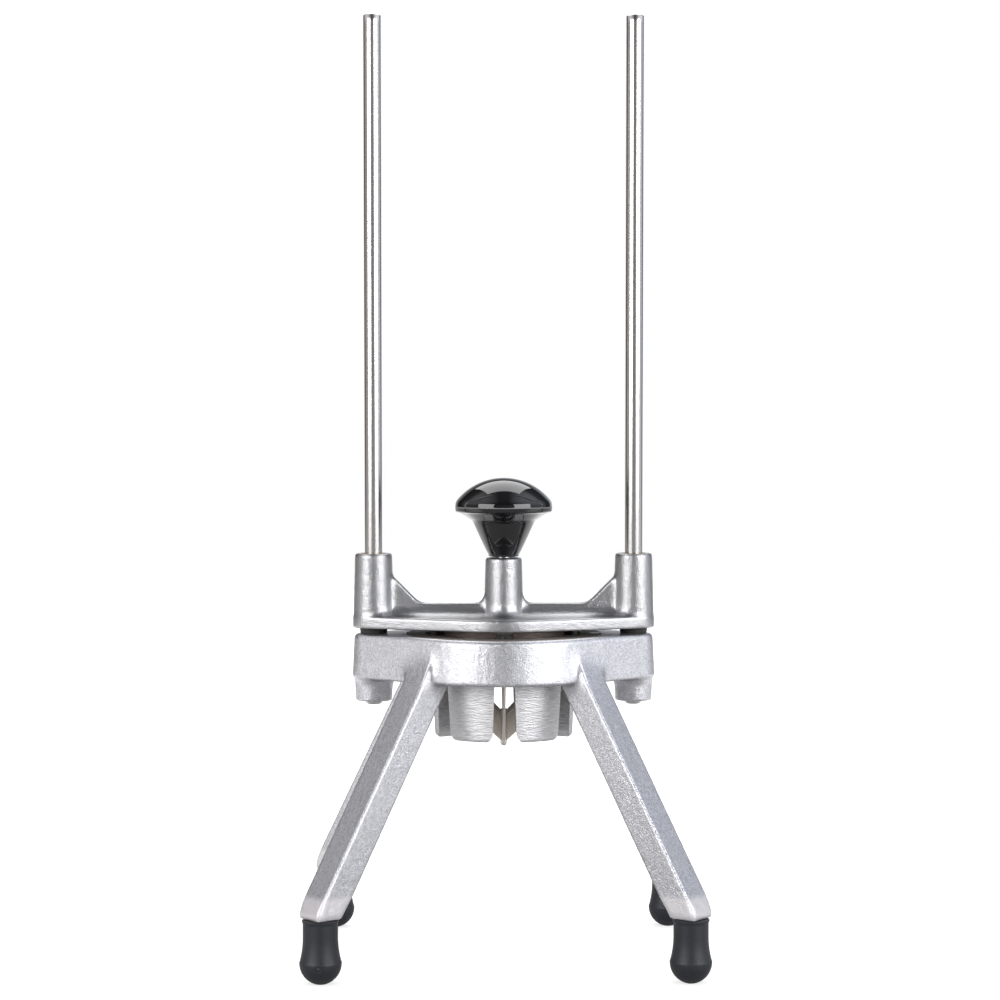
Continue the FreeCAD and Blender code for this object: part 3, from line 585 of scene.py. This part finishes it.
class PRESS_OT_cast_frame(bpy.types.Operator):
    """Gives the frame its softened sand-cast skin, with fillets where the legs spring"""

    bl_idname = "press.cast_frame"
    bl_label = "Cast the frame"

    def execute(self, context):
        settings = context.scene.press_casting
        rod = measured("guide_rod_right")
        ring = measured("blade_clamp_ring")
        feet = measured("rubber_foot_front_right")
        piece = recast("base_frame", settings.frame_voxel)
        mesh = piece.data
        ring_height, seat_lip, seat_ledge = 20.5, 1.5, 6
        rod_lip, screw_lip, behind, leg_end = 2.5, 3.5, 4, 10
        fillet_passes, grind_passes, ground_height, ground_run = 180, 30, 11.8, 9
        wave_length, seed = 4.5, 11
        everywhere = np.ones(len(mesh.vertices))
        relax(mesh, 1, everywhere)
        spots = places(mesh)
        radius = np.hypot(spots[:, 0], spots[:, 1])
        beside_rod = np.abs(np.abs(spots[:, 0]) - rod.x)
        from_rod = np.hypot(beside_rod, spots[:, 1])
        height = spots[:, 2]
        # The fillets stay out of the rings' seat, the rods' holes and the set screws' holes.
        outside = radius > ring.radius + seat_lip
        below = (height < ring.bottom - ring_height) & (radius > ring.radius - seat_ledge)
        fill = (outside | below) & (from_rod > rod.radius + rod_lip)
        fill &= height > feet.top + leg_end
        screw = measured("rod_set_screws")
        near_screw = np.abs(height - (screw.bottom + screw.top) / 2) < screw_lip
        fill &= ~(near_screw & (beside_rod < screw_lip) & (spots[:, 1] > behind))
        relax(mesh, fillet_passes, fill.astype(float), side=1)
        ground_from = feet.top + ground_height
        ground_share = np.clip((ground_from - height) / ground_run, 0, 1)
        relax(mesh, grind_passes, ground_share, side=-1)
        relax(mesh, 1, everywhere)
        ripple(mesh, settings.skin_depth / MM, wave_length, seed)
        finish = sand_cast_aluminium(settings, ground_from * MM)
        stand_for(piece, "base_frame", "base", finish)
        return {"FINISHED"}


class PRESS_OT_cast_head(bpy.types.Operator):
    """Gives the pusher head its tumbled skin, with fillets at its bosses and web"""

    bl_idname = "press.cast_head"
    bl_label = "Cast the head"

    def execute(self, context):
        settings = context.scene.press_casting
        rod = measured("guide_rod_right")
        head = measured("pusher_head")
        piece = recast("pusher_head", settings.head_voxel)
        mesh = piece.data
        plate, web_half, boss, nowhere = 5.9, 4.0, 11.0, 99
        web_run, web_rise, boss_run, boss_inset = 11, 6.5, 5, 4
        rod_lip, stud_lip, underside = 3.5, 5, 2
        fillet_passes, edge_passes = 100, 4
        wave_length, seed = 3.6, 12
        everywhere = np.ones(len(mesh.vertices))
        relax(mesh, 2, everywhere)
        spots = places(mesh)
        from_rod = np.hypot(np.abs(spots[:, 0]) - rod.x, spots[:, 1])
        from_middle = np.hypot(spots[:, 0], spots[:, 1])
        floor = head.bottom + plate

        def beside_web(spots):
            away = np.abs(spots[:, 1]) - web_half
            away[np.abs(spots[:, 0]) > rod.x] = nowhere
            return away, np.stack([0 * away, np.sign(spots[:, 1])], axis=1)

        def round_bosses(spots):
            nearest = np.stack([spots[:, :2] - (x, 0) for x in (-rod.x, 0, rod.x)])
            away = np.linalg.norm(nearest, axis=2)
            pick = away.argmin(axis=0)
            each = np.arange(len(spots))
            out = nearest[pick, each] / np.maximum(away[pick, each], 0.1)[:, None]
            away = away[pick, each] - boss
            away[np.abs(spots[:, 0]) > rod.x - boss_inset] = nowhere
            return away, out

        spread_foot(mesh, beside_web, floor, web_run, web_rise)
        spread_foot(mesh, round_bosses, floor, boss_run, boss_run)
        # The fillets stay out of the bushings' holes, the stud's hole and the plate's underside.
        fill = (from_rod > rod.radius + rod_lip) & (from_middle > stud_lip)
        fill &= spots[:, 2] > head.bottom + underside
        relax(mesh, fillet_passes, fill.astype(float), side=1)
        relax(mesh, edge_passes, everywhere, side=-1)
        relax(mesh, 1, everywhere)
        ripple(mesh, settings.skin_depth / MM, wave_length, seed)
        finish = tumbled_cast_aluminium(settings)
        stand_for(piece, "pusher_head", "pusher", finish)
        return {"FINISHED"}


class PRESS_OT_turn_block(bpy.types.Operator):
    """Turns the pusher block with its six grooved wedge fingers"""

    bl_idname = "press.turn_block"
    bl_label = "Turn the block"

    def execute(self, context):
        settings = context.scene.press_block
        pitch = settings.groove_pitch / MM
        depth = settings.groove_depth / MM
        block = measured("pusher_block")
        seat = measured("pusher_head").bottom
        tip, root_radius = block.bottom, block.radius
        tip_radius, tip_round = root_radius - 2.7, 1.8
        root_half, tip_half = 4.5, 6.5
        bevel_width, bevel_height, fullness = 3.1, 4.2, 1.45
        heights = list(np.linspace(tip, tip + tip_round, 9))
        rows = math.ceil((seat - tip - tip_round) / (pitch / 6))
        heights += list(np.linspace(tip + tip_round, seat, rows))[1:] + [seat + 1]
        chance = np.random.default_rng(5)
        strength = chance.uniform(0.4, 1.0, math.ceil((seat - tip) / pitch) + 2)

        def groove(angle, above, finger):
            """How deep the tool cut at an angle and a height."""
            wander = 0.3 * math.sin(31 * angle + 1.1 * above + 2 * finger)
            wander += 0.22 * math.sin(73 * angle - 0.8 * above + 5 * finger)
            phase = above / pitch + wander
            level = strength[max(int(phase), 0)]
            return depth * level * (0.5 - 0.5 * math.cos(2 * math.pi * phase))

        # Each finger is a stack of rows: out along one wall, round the rim, back along the other.
        points, faces = [], []
        wall, rim = 8, 40
        for finger in range(6):
            turn = math.radians(60 * finger)
            start = len(points)
            for height in heights:
                up = min(max((height - tip) / (seat - tip), 0), 1)
                half = tip_half + (root_half - tip_half) * up
                above = height - tip
                if above < bevel_height:
                    rest = 1 - (1 - above / bevel_height) ** fullness
                    half += bevel_width * (1 - rest ** (1 / fullness))
                reach = tip_radius + (root_radius - tip_radius) * up
                if above < tip_round:
                    reach -= tip_round - math.sqrt(tip_round**2 - (tip_round - above) ** 2)
                cut = tip_round < above and height < seat
                apex = 2 * half
                edge = math.radians(30) - math.asin(half / reach)
                corner = reach * math.cos(edge), reach * math.sin(edge)
                side = [
                    (apex + (corner[0] - apex) * t, corner[1] * t) for t in np.arange(wall) / wall
                ]
                ring = [(x, -y) for x, y in side]
                for k in range(rim):
                    a = -edge + 2 * edge * k / (rim - 1)
                    r = reach - (groove(a, above, finger) if cut else 0)
                    ring.append((r * math.cos(a), r * math.sin(a)))
                for x, y in ring + side[:0:-1]:
                    across = x * math.cos(turn) - y * math.sin(turn)
                    points.append((across, x * math.sin(turn) + y * math.cos(turn), height))
            faces += close_stack(start, len(heights), 2 * wall + rim - 1)
        spigot, lift, steps = root_radius - 4.1, 0.12, 96
        start = len(points)
        for level in (seat + lift, block.top):
            for k in range(steps):
                a = 2 * math.pi * k / steps
                points.append((spigot * math.cos(a), spigot * math.sin(a), level))
        faces += close_stack(start, 2, steps)
        piece = new_piece("pusher_block_turned", points, faces, sharp=28)
        # The fingers' roots, between the frame's top and the head, take a band of painted shade
        # that starts just under the frame's top.
        painted_shade_drop = 0.4
        painted_shade_from = (measured("base_frame").top - painted_shade_drop) * MM
        finish = turned_aluminium(
            "aluminium_turned", settings.metal, settings.groove_pitch, 0.4, painted_shade_from
        )
        stand_for(piece, "pusher_block", "pusher", finish)
        return {"FINISHED"}


class PRESS_OT_polish_rods(bpy.types.Operator):
    """Turns and polishes the guide rods"""

    bl_idname = "press.polish_rods"
    bl_label = "Polish the rods"

    def execute(self, context):
        settings = context.scene.press_steel
        finish = drawn_steel("stainless_rod_polished", settings.rod, 0.17, (1, 1, 0.02))
        for side in ("left", "right"):
            rod = measured(f"guide_rod_{side}")
            nose, chamfer = 2.0, 0.9
            shoulder, end = rod.top - chamfer, rod.radius - chamfer
            profile = [(0, rod.bottom)]
            profile += arc((rod.radius - nose, rod.bottom + nose), nose, -90, 0, 8)
            profile += [(rod.radius, shoulder - 0.12), (rod.radius - 0.08, shoulder)]
            profile += [(end, rod.top - 0.1), (end - 0.2, rod.top), (0, rod.top)]
            piece = turned(f"guide_rod_{side}_polished", divided(profile, 4), rod.x, rod.y, 96)
            stand_for(piece, f"guide_rod_{side}", "base", finish)
        return {"FINISHED"}


class PRESS_OT_grind_blades(bpy.types.Operator):
    """Finishes the blades, their pin and the rings that hold them"""

    bl_idname = "press.grind_blades"
    bl_label = "Grind the blades"

    def execute(self, context):
        settings = context.scene.press_steel
        strip = drawn_steel("stainless_strip_rolled", settings.blade, 0.45, (1, 1, 0.1), 0.7)
        for number in range(1, 7):
            node = f"blade_{number}"
            finish_node(node, strip)
            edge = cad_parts[node].modifiers.new("Edge", "BEVEL")
            edge.width = 0.12 * MM
            edge.segments = 2
        pin = measured("core_pin")
        tip_lift = 0.8
        low = pin.bottom + tip_lift
        profile = [(0, low)] + arc((0, low + pin.radius), pin.radius, -80, 0, 10)
        profile += [(pin.radius, pin.top - 0.3), (pin.radius - 0.3, pin.top), (0, pin.top)]
        piece = turned("core_pin_turned", divided(profile, 2), segments=48)
        stand_for(piece, "core_pin", "base", strip)
        ring_metal = context.scene.press_block.metal
        machined = turned_aluminium("aluminium_machined_ring", ring_metal, 0.8 * MM, 0.26)
        finish_node("blade_carrier_ring", machined)
        # The clamp ring's steel is given a dark brownish grey.
        darkened = plain_metal("steel_dark_grey", settings.clamp, 0.5, 0.6)
        finish_node("blade_clamp_ring", darkened)
        return {"FINISHED"}


class PRESS_OT_mould_knob(bpy.types.Operator):
    """Moulds the knob with its parting line, and plates its insert"""

    bl_idname = "press.mould_knob"
    bl_label = "Mould the knob"

    def execute(self, context):
        settings = context.scene.press_black
        knob = measured("knob")
        base, top, radius = knob.bottom, knob.top, knob.radius
        dome, rim_round, band = 32.8, 5.0, 2.4
        centre = top - dome
        rim_x = radius - rim_round
        rim_z = centre + math.sqrt((dome - rim_round) ** 2 - rim_x**2)
        spread = math.degrees(math.atan2(rim_z - centre, rim_x))
        ridge = settings.parting_ridge / MM
        line, ridge_foot, ridge_top = rim_z - 0.9, 0.35, 0.12
        stem_low, stem_high, foot_round, bow = 8.2, 17.0, 0.6, 0.15
        under, under_round = rim_z - band - 1.2, 1.3
        hole = measured("knob_insert").radius + 0.02
        stem_foot, stem_top = base + foot_round, under - 4.4
        # Up the stem's cone, out under the rim, over the parting ridge and over the dome.
        profile = [(hole, base + 4), (hole, base)]
        profile += arc((stem_low - foot_round, stem_foot), foot_round, -90, 0, 5)
        profile += [(stem_low + 0.3, base + 1.6)]
        for k in range(1, 12):
            t = k / 12
            out = stem_low + (stem_high - stem_low) * t + bow * math.sin(math.pi * t)
            profile.append((out, stem_foot + (stem_top - stem_foot) * t))
        profile += [(stem_high + 0.15, stem_top - 0.1), (stem_high + 0.9, stem_top + 0.35)]
        profile += [(radius - 3.4, under - 0.75), (radius - 2.2, under - 0.3)]
        profile += arc((radius - under_round, under + 1.2), under_round, -62, -4, 6)
        profile += [(radius, line - ridge_foot), (radius + ridge, line - ridge_top)]
        profile += [(radius + ridge, line + ridge_top), (radius, line + ridge_foot)]
        profile += arc((rim_x, rim_z), rim_round, 0, spread, 14)
        profile += arc((0, centre), dome, spread, 90, 40)[1:-1] + [(0, top)]
        piece = turned("knob_moulded", profile, segments=192)
        finish = moulded_phenolic(settings, line * MM)
        stand_for(piece, "knob", "pusher", finish)
        steel = context.scene.press_steel
        finish_node("knob_insert", plain_metal("brass_nickel_plated", steel.brass, 0.2, 0.4))
        return {"FINISHED"}


class PRESS_OT_mould_feet(bpy.types.Operator):
    """Moulds the rubber feet, each with a lip, a parting ridge and a gate mark"""

    bl_idname = "press.mould_feet"
    bl_label = "Mould the feet"

    def execute(self, context):
        settings = context.scene.press_black
        finish = moulded_rubber("rubber_moulded_satin", settings.rubber, 0.42, 0.35)
        gates = {"front_left": -92, "front_right": 150, "rear_left": 70, "rear_right": 20}
        for place, gate in gates.items():
            foot = measured(f"rubber_foot_{place}")
            bulge, belly, neck, flat = foot.radius, 10.9, 9.15, 3.0
            neck_length, lip, ridge, ridge_height = 9.0, 0.4, 0.06, 0.7
            run = bulge - flat
            ball = (run**2 + belly**2) / (2 * run)
            lowest = math.degrees(math.asin(min(1, belly / ball)))
            # Up the ball, over the parting ridge, in to the neck and out to the lip.
            profile = [(0, 0), (flat * 0.6, 0)]
            profile += arc((bulge - ridge - ball, belly), ball, -lowest, 0, 22)
            profile += [(bulge, belly + ridge_height / 2), (bulge - 0.14, belly + ridge_height)]
            rise = foot.top - neck_length - belly
            sweep = ((bulge - neck) ** 2 + rise**2) / (2 * (bulge - neck))
            for k in range(1, 15):
                level = belly + ridge_height + (rise - ridge_height) * k / 14
                inset = sweep - math.sqrt(max(sweep**2 - (belly + rise - level) ** 2, 0))
                profile.append((neck + inset, level))
            profile += [(neck, foot.top - 1.9), (neck + 0.12, foot.top - 1.4)]
            profile += [(neck + lip, foot.top - 1.0), (neck + lip, foot.top - 0.25)]
            profile += [(neck + 0.15, foot.top), (0, foot.top)]
            profile = divided(profile, 0.6)
            piece = turned(f"rubber_foot_{place}_moulded", profile, foot.x, foot.y, 144)
            self.add_gate(piece.data, foot, gate)
            stand_for(piece, f"rubber_foot_{place}", "base", finish)
        return {"FINISHED"}

    @staticmethod
    def add_gate(mesh, foot, gate):
        """A small pimple in a moat, where the rubber was fed into the mould."""
        pimple, pimple_radius = 0.2, 0.8
        moat, moat_radius, moat_width = 0.4, 1.15, 0.4
        spots = places(mesh)
        turn, out, level = math.radians(gate), foot.radius - 0.1, 9.4
        middle = foot.x + out * math.cos(turn), foot.y + out * math.sin(turn), level
        away = np.linalg.norm(spots - middle, axis=1)
        lump = pimple * np.exp(-((away / pimple_radius) ** 4))
        lump -= moat * np.exp(-(((away - moat_radius) / moat_width) ** 2))
        put_back(mesh, spots + gathered(mesh, "normal") * lump[:, None])


class PRESS_OT_cut_bumpers(bpy.types.Operator):
    """Cuts the two rubber bumpers on the rods"""

    bl_idname = "press.cut_bumpers"
    bl_label = "Cut the bumpers"

    def execute(self, context):
        settings = context.scene.press_black
        finish = moulded_rubber("rubber_cut_matt", settings.bumper, 0.55, 0.3)
        bore = measured("guide_rod_left").radius + 0.05
        for side in ("left", "right"):
            bumper = measured(f"bumper_{side}")
            low, high, wide = bumper.bottom, bumper.top, bumper.radius
            narrow = wide - 0.45
            profile = [(bore, high), (bore, low), (narrow - 0.2, low), (narrow, low + 0.2)]
            profile += [(wide - 0.06, high - 0.35), (wide - 0.25, high)]
            piece = turned(f"bumper_{side}_cut", profile, bumper.x, bumper.y, 72, ring=True)
            stand_for(piece, f"bumper_{side}", "base", finish)
        return {"FINISHED"}


class PRESS_OT_fit_hardware(bpy.types.Operator):
    """Finishes the screws, the studs and the bushings"""

    bl_idname = "press.fit_hardware"
    bl_label = "Fit the hardware"

    def execute(self, context):
        settings = context.scene.press_steel
        plated = plain_metal("steel_zinc_plated", settings.screw, 0.24, 0.5)
        screws = [f"{place}_screws" for place in ("rod_set", "blade_ring", "pusher_block")]
        for node in (*screws, "foot_studs", "knob_stud"):
            finish_node(node, plated)
        bronze = plain_metal("bronze_sintered", settings.bronze, 0.4, 0.25)
        for level in ("upper", "lower"):
            for side in ("left", "right"):
                finish_node(f"guide_bushing_{level}_{side}", bronze)
        return {"FINISHED"}


class PRESS_OT_set_stage(bpy.types.Operator):
    """Sets the white floor, the soft studio light and the camera"""

    bl_idname = "press.set_stage"
    bl_label = "Set the stage"

    def execute(self, context):
        settings = context.scene.press_studio
        context.scene.view_settings.view_transform = "Standard"
        self.lay_floor()
        self.light_studio(settings)
        self.surround(context.scene, settings)
        self.place_camera(context.scene)
        return {"FINISHED"}

    @staticmethod
    def lay_floor():
        """White paper, a little greyer under the press. What the metal mirrors of it is dark
        close to the press, bright a step away and dim in the distance."""
        half, level = 3000, -0.02
        corners = [(x * half, y * half, level) for x, y in ((-1, -1), (1, -1), (1, 1), (-1, 1))]
        floor = new_piece("floor", corners, [(0, 1, 2, 3)])
        made = bpy.data.materials.new("paper_sweep_white")
        tree = empty_tree(made)
        spot = add_node(tree, "ShaderNodeTexCoord").outputs["Object"]
        away = add_node(tree, "ShaderNodeVectorMath", {0: spot}, operation="LENGTH")
        glow = add_node(
            tree,
            "ShaderNodeMapRange",
            {"Value": away.outputs["Value"], "From Min": 0.1, "From Max": 0.6, "To Min": 0.62},
        )
        white = add_node(tree, "ShaderNodeEmission", {"Color": WHITE, "Strength": glow.outputs[0]})
        paper = add_node(tree, "ShaderNodeBsdfDiffuse", {"Color": (0.6, 0.6, 0.6, 1)})
        shaded = add_node(tree, "ShaderNodeBsdfDiffuse", {"Color": (0.42, 0.42, 0.42, 1)})
        seen = add_node(tree, "ShaderNodeAddShader", {0: white.outputs[0], 1: paper.outputs[0]})
        x, y = add_node(tree, "ShaderNodeSeparateXYZ", {"Vector": spot}).outputs[:2]
        aside = add_node(tree, "ShaderNodeMath", {0: x}, operation="ABSOLUTE")
        beside = add_node(
            tree, "ShaderNodeMath", {0: y, 1: 0.8, 2: aside.outputs[0]}, operation="MULTIPLY_ADD"
        )
        near = {"From Min": 0.18, "From Max": 0.6, "To Min": 0.05, "To Max": 1.1}
        far = {"From Min": 0.7, "From Max": 1.5, "To Min": 1.0, "To Max": 0.3}
        rising, falling = (
            add_node(tree, "ShaderNodeMapRange", {"Value": beside.outputs[0], **ends}).outputs[0]
            for ends in (near, far)
        )
        pool = add_node(tree, "ShaderNodeMath", {0: rising, 1: falling}, operation="MULTIPLY")
        lit = add_node(tree, "ShaderNodeEmission", {"Color": WHITE, "Strength": pool.outputs[0]})
        plain = add_node(tree, "ShaderNodeAddShader", {0: lit.outputs[0], 1: shaded.outputs[0]})
        ray = add_node(tree, "ShaderNodeLightPath")
        chosen = add_node(
            tree,
            "ShaderNodeMixShader",
            {0: ray.outputs["Is Camera Ray"], 1: plain.outputs[0], 2: seen.outputs[0]},
        )
        add_node(tree, "ShaderNodeOutputMaterial", {"Surface": chosen.outputs[0]})
        floor.data.materials.append(made)

    @staticmethod
    def light_studio(settings):
        """A softbox each side in front, and a wide one overhead. A lamp's power is its
        radiance times pi times its area."""
        target = Vector((0, 0, 0.2))
        boxes = (
            ("softbox_left", (-1.82, -1.86, 0.9), (1.9, 1.34), settings.left),
            ("softbox_right", (1.86, -1.82, 0.9), (2.0, 1.34), settings.right),
            ("softbox_overhead", (0, 0.95, 1.65), (1.3, 1.3), settings.overhead),
        )
        for name, place, size, level in boxes:
            light = bpy.data.lights.new(name, "AREA")
            light.shape = "RECTANGLE"
            light.size, light.size_y = size
            light.energy = level * math.pi * size[0] * size[1]
            lamp = new_object(name, light)
            lamp.location = place
            lamp.rotation_euler = (target - Vector(place)).to_track_quat("-Z", "Y").to_euler()

    @staticmethod
    def surround(scene, settings):
        """The walls as metal and gloss show them: dim in front of the press, lighter at the
        sides, dark behind and white in the very middle of the back, with warm tones on the
        left and cool ones on the right. The camera sees plain white."""
        world = bpy.data.worlds.new("studio")
        tree = empty_tree(world)
        way = add_node(tree, "ShaderNodeTexCoord").outputs["Generated"]
        x, y, z = add_node(tree, "ShaderNodeSeparateXYZ", {"Vector": way}).outputs
        back = add_node(tree, "ShaderNodeMapRange", {"Value": y, "From Min": -1.0})
        ramp = add_node(tree, "ShaderNodeValToRGB", {0: back.outputs[0]})
        stops = ramp.color_ramp.elements
        levels = ((0.0, 0.3), (0.1, 0.38), (0.4, 0.68), (0.68, 0.62))
        levels += ((0.76, 0.14), (0.89, 0.08), (0.925, 1.0))
        while len(stops) < len(levels):
            stops.new(0.5)
        for stop, (position, level) in zip(stops, levels):
            stop.position = position
            stop.color = (level, level, level, 1)
        side = add_node(tree, "ShaderNodeMapRange", {"Value": x, "From Min": -0.5, "From Max": 0.5})
        ends = {"From Min": 0.15, "From Max": 0.45, "To Min": 1.0, "To Max": 0.3}
        raised = add_node(tree, "ShaderNodeMapRange", {"Value": z, **ends})
        aside = add_node(tree, "ShaderNodeMath", {0: x}, operation="ABSOLUTE")
        corner = add_node(tree, "ShaderNodeMath", {0: aside.outputs[0], 1: z}, operation="MULTIPLY")
        ends = {"From Min": 0.12, "From Max": 0.4, "To Max": 1.35}
        glow = add_node(tree, "ShaderNodeMapRange", {"Value": corner.outputs[0], **ends})
        cooler = add_node(
            tree,
            "ShaderNodeMath",
            {0: glow.outputs[0], 1: 0.3, 2: side.outputs[0]},
            operation="MULTIPLY_ADD",
        )
        tint = add_node(
            tree,
            "ShaderNodeMix",
            {0: cooler.outputs[0], 6: (*settings.warm, 1), 7: (*settings.cool, 1)},
            data_type="RGBA",
        )
        walls = add_node(
            tree,
            "ShaderNodeMix",
            {0: 1.0, 6: ramp.outputs["Color"], 7: tint.outputs[2]},
            data_type="RGBA",
            blend_type="MULTIPLY",
        )
        level = add_node(
            tree, "ShaderNodeMath", {0: raised.outputs[0], 1: glow.outputs[0]}, operation="ADD"
        )
        ceiling = add_node(
            tree, "ShaderNodeMath", {0: level.outputs[0], 1: settings.walls}, operation="MULTIPLY"
        )
        soft = (settings.surround,) * 3 + (1,)
        ray = add_node(tree, "ShaderNodeLightPath")
        lit = add_node(
            tree,
            "ShaderNodeMix",
            {0: ray.outputs["Is Glossy Ray"], 6: soft, 7: walls.outputs[2]},
            data_type="RGBA",
        )
        shown = add_node(
            tree,
            "ShaderNodeMath",
            {0: ray.outputs["Is Camera Ray"], 1: ray.outputs["Is Transmission Ray"]},
            operation="MAXIMUM",
        )
        around = add_node(
            tree, "ShaderNodeBackground", {"Color": lit.outputs[2], "Strength": ceiling.outputs[0]}
        )
        white = add_node(tree, "ShaderNodeBackground", {"Color": WHITE, "Strength": 1.0})
        chosen = add_node(
            tree,
            "ShaderNodeMixShader",
            {0: shown.outputs[0], 1: around.outputs[0], 2: white.outputs[0]},
        )
        add_node(tree, "ShaderNodeOutputWorld", {"Surface": chosen.outputs[0]})
        scene.world = world

    @staticmethod
    def place_camera(scene):
        """A long lens from the front, well above the blade ring and tipped slightly down."""
        distance, height = 1.4152, 0.29306
        pitch, yaw = math.radians(3.44), math.radians(0.86)
        lens_pixels, image, sensor = 2603.97, 1000, 36
        middle = (503.69, 574.62)
        data = bpy.data.cameras.new("camera")
        data.sensor_width = sensor
        data.lens = lens_pixels * sensor / image
        data.shift_x = (image / 2 - middle[0]) / image
        data.shift_y = (middle[1] - image / 2) / image
        data.clip_start, data.clip_end = 0.05, 50
        camera = new_object("camera", data)
        look = Vector(
            (math.sin(yaw) * math.cos(pitch), math.cos(yaw) * math.cos(pitch), -math.sin(pitch))
        )
        camera.rotation_euler = look.to_track_quat("-Z", "Y").to_euler()
        camera.location = (-distance * math.sin(yaw), -distance * math.cos(yaw), height)
        scene.camera = camera


OPERATORS = (
    PRESS_OT_set_stage,
    PRESS_OT_cast_frame,
    PRESS_OT_cast_head,
    PRESS_OT_turn_block,
    PRESS_OT_polish_rods,
    PRESS_OT_grind_blades,
    PRESS_OT_mould_knob,
    PRESS_OT_mould_feet,
    PRESS_OT_cut_bumpers,
    PRESS_OT_fit_hardware,
)


class PRESS_PT_looks(bpy.types.Panel):
    """Lists the steps that dress the press"""

    bl_idname = "PRESS_PT_looks"
    bl_label = "Wedger press"
    bl_space_type = "VIEW_3D"
    bl_region_type = "UI"
    bl_category = "Wedger press"

    def draw(self, context):
        for operator in OPERATORS:
            self.layout.operator(operator.bl_idname)


CLASSES = (*GROUPS.values(), *OPERATORS, PRESS_PT_looks)


def register():
    for item in CLASSES:
        bpy.utils.register_class(item)
    for name, group in GROUPS.items():
        setattr(bpy.types.Scene, name, bpy.props.PointerProperty(type=group))


def unregister():
    for name in GROUPS:
        delattr(bpy.types.Scene, name)
    for item in reversed(CLASSES):
        bpy.utils.unregister_class(item)


def main():
    register()
    for operator in OPERATORS:
        family, action = operator.bl_idname.split(".")
        getattr(getattr(bpy.ops, family), action)()


if __name__ == "__main__":
    main()
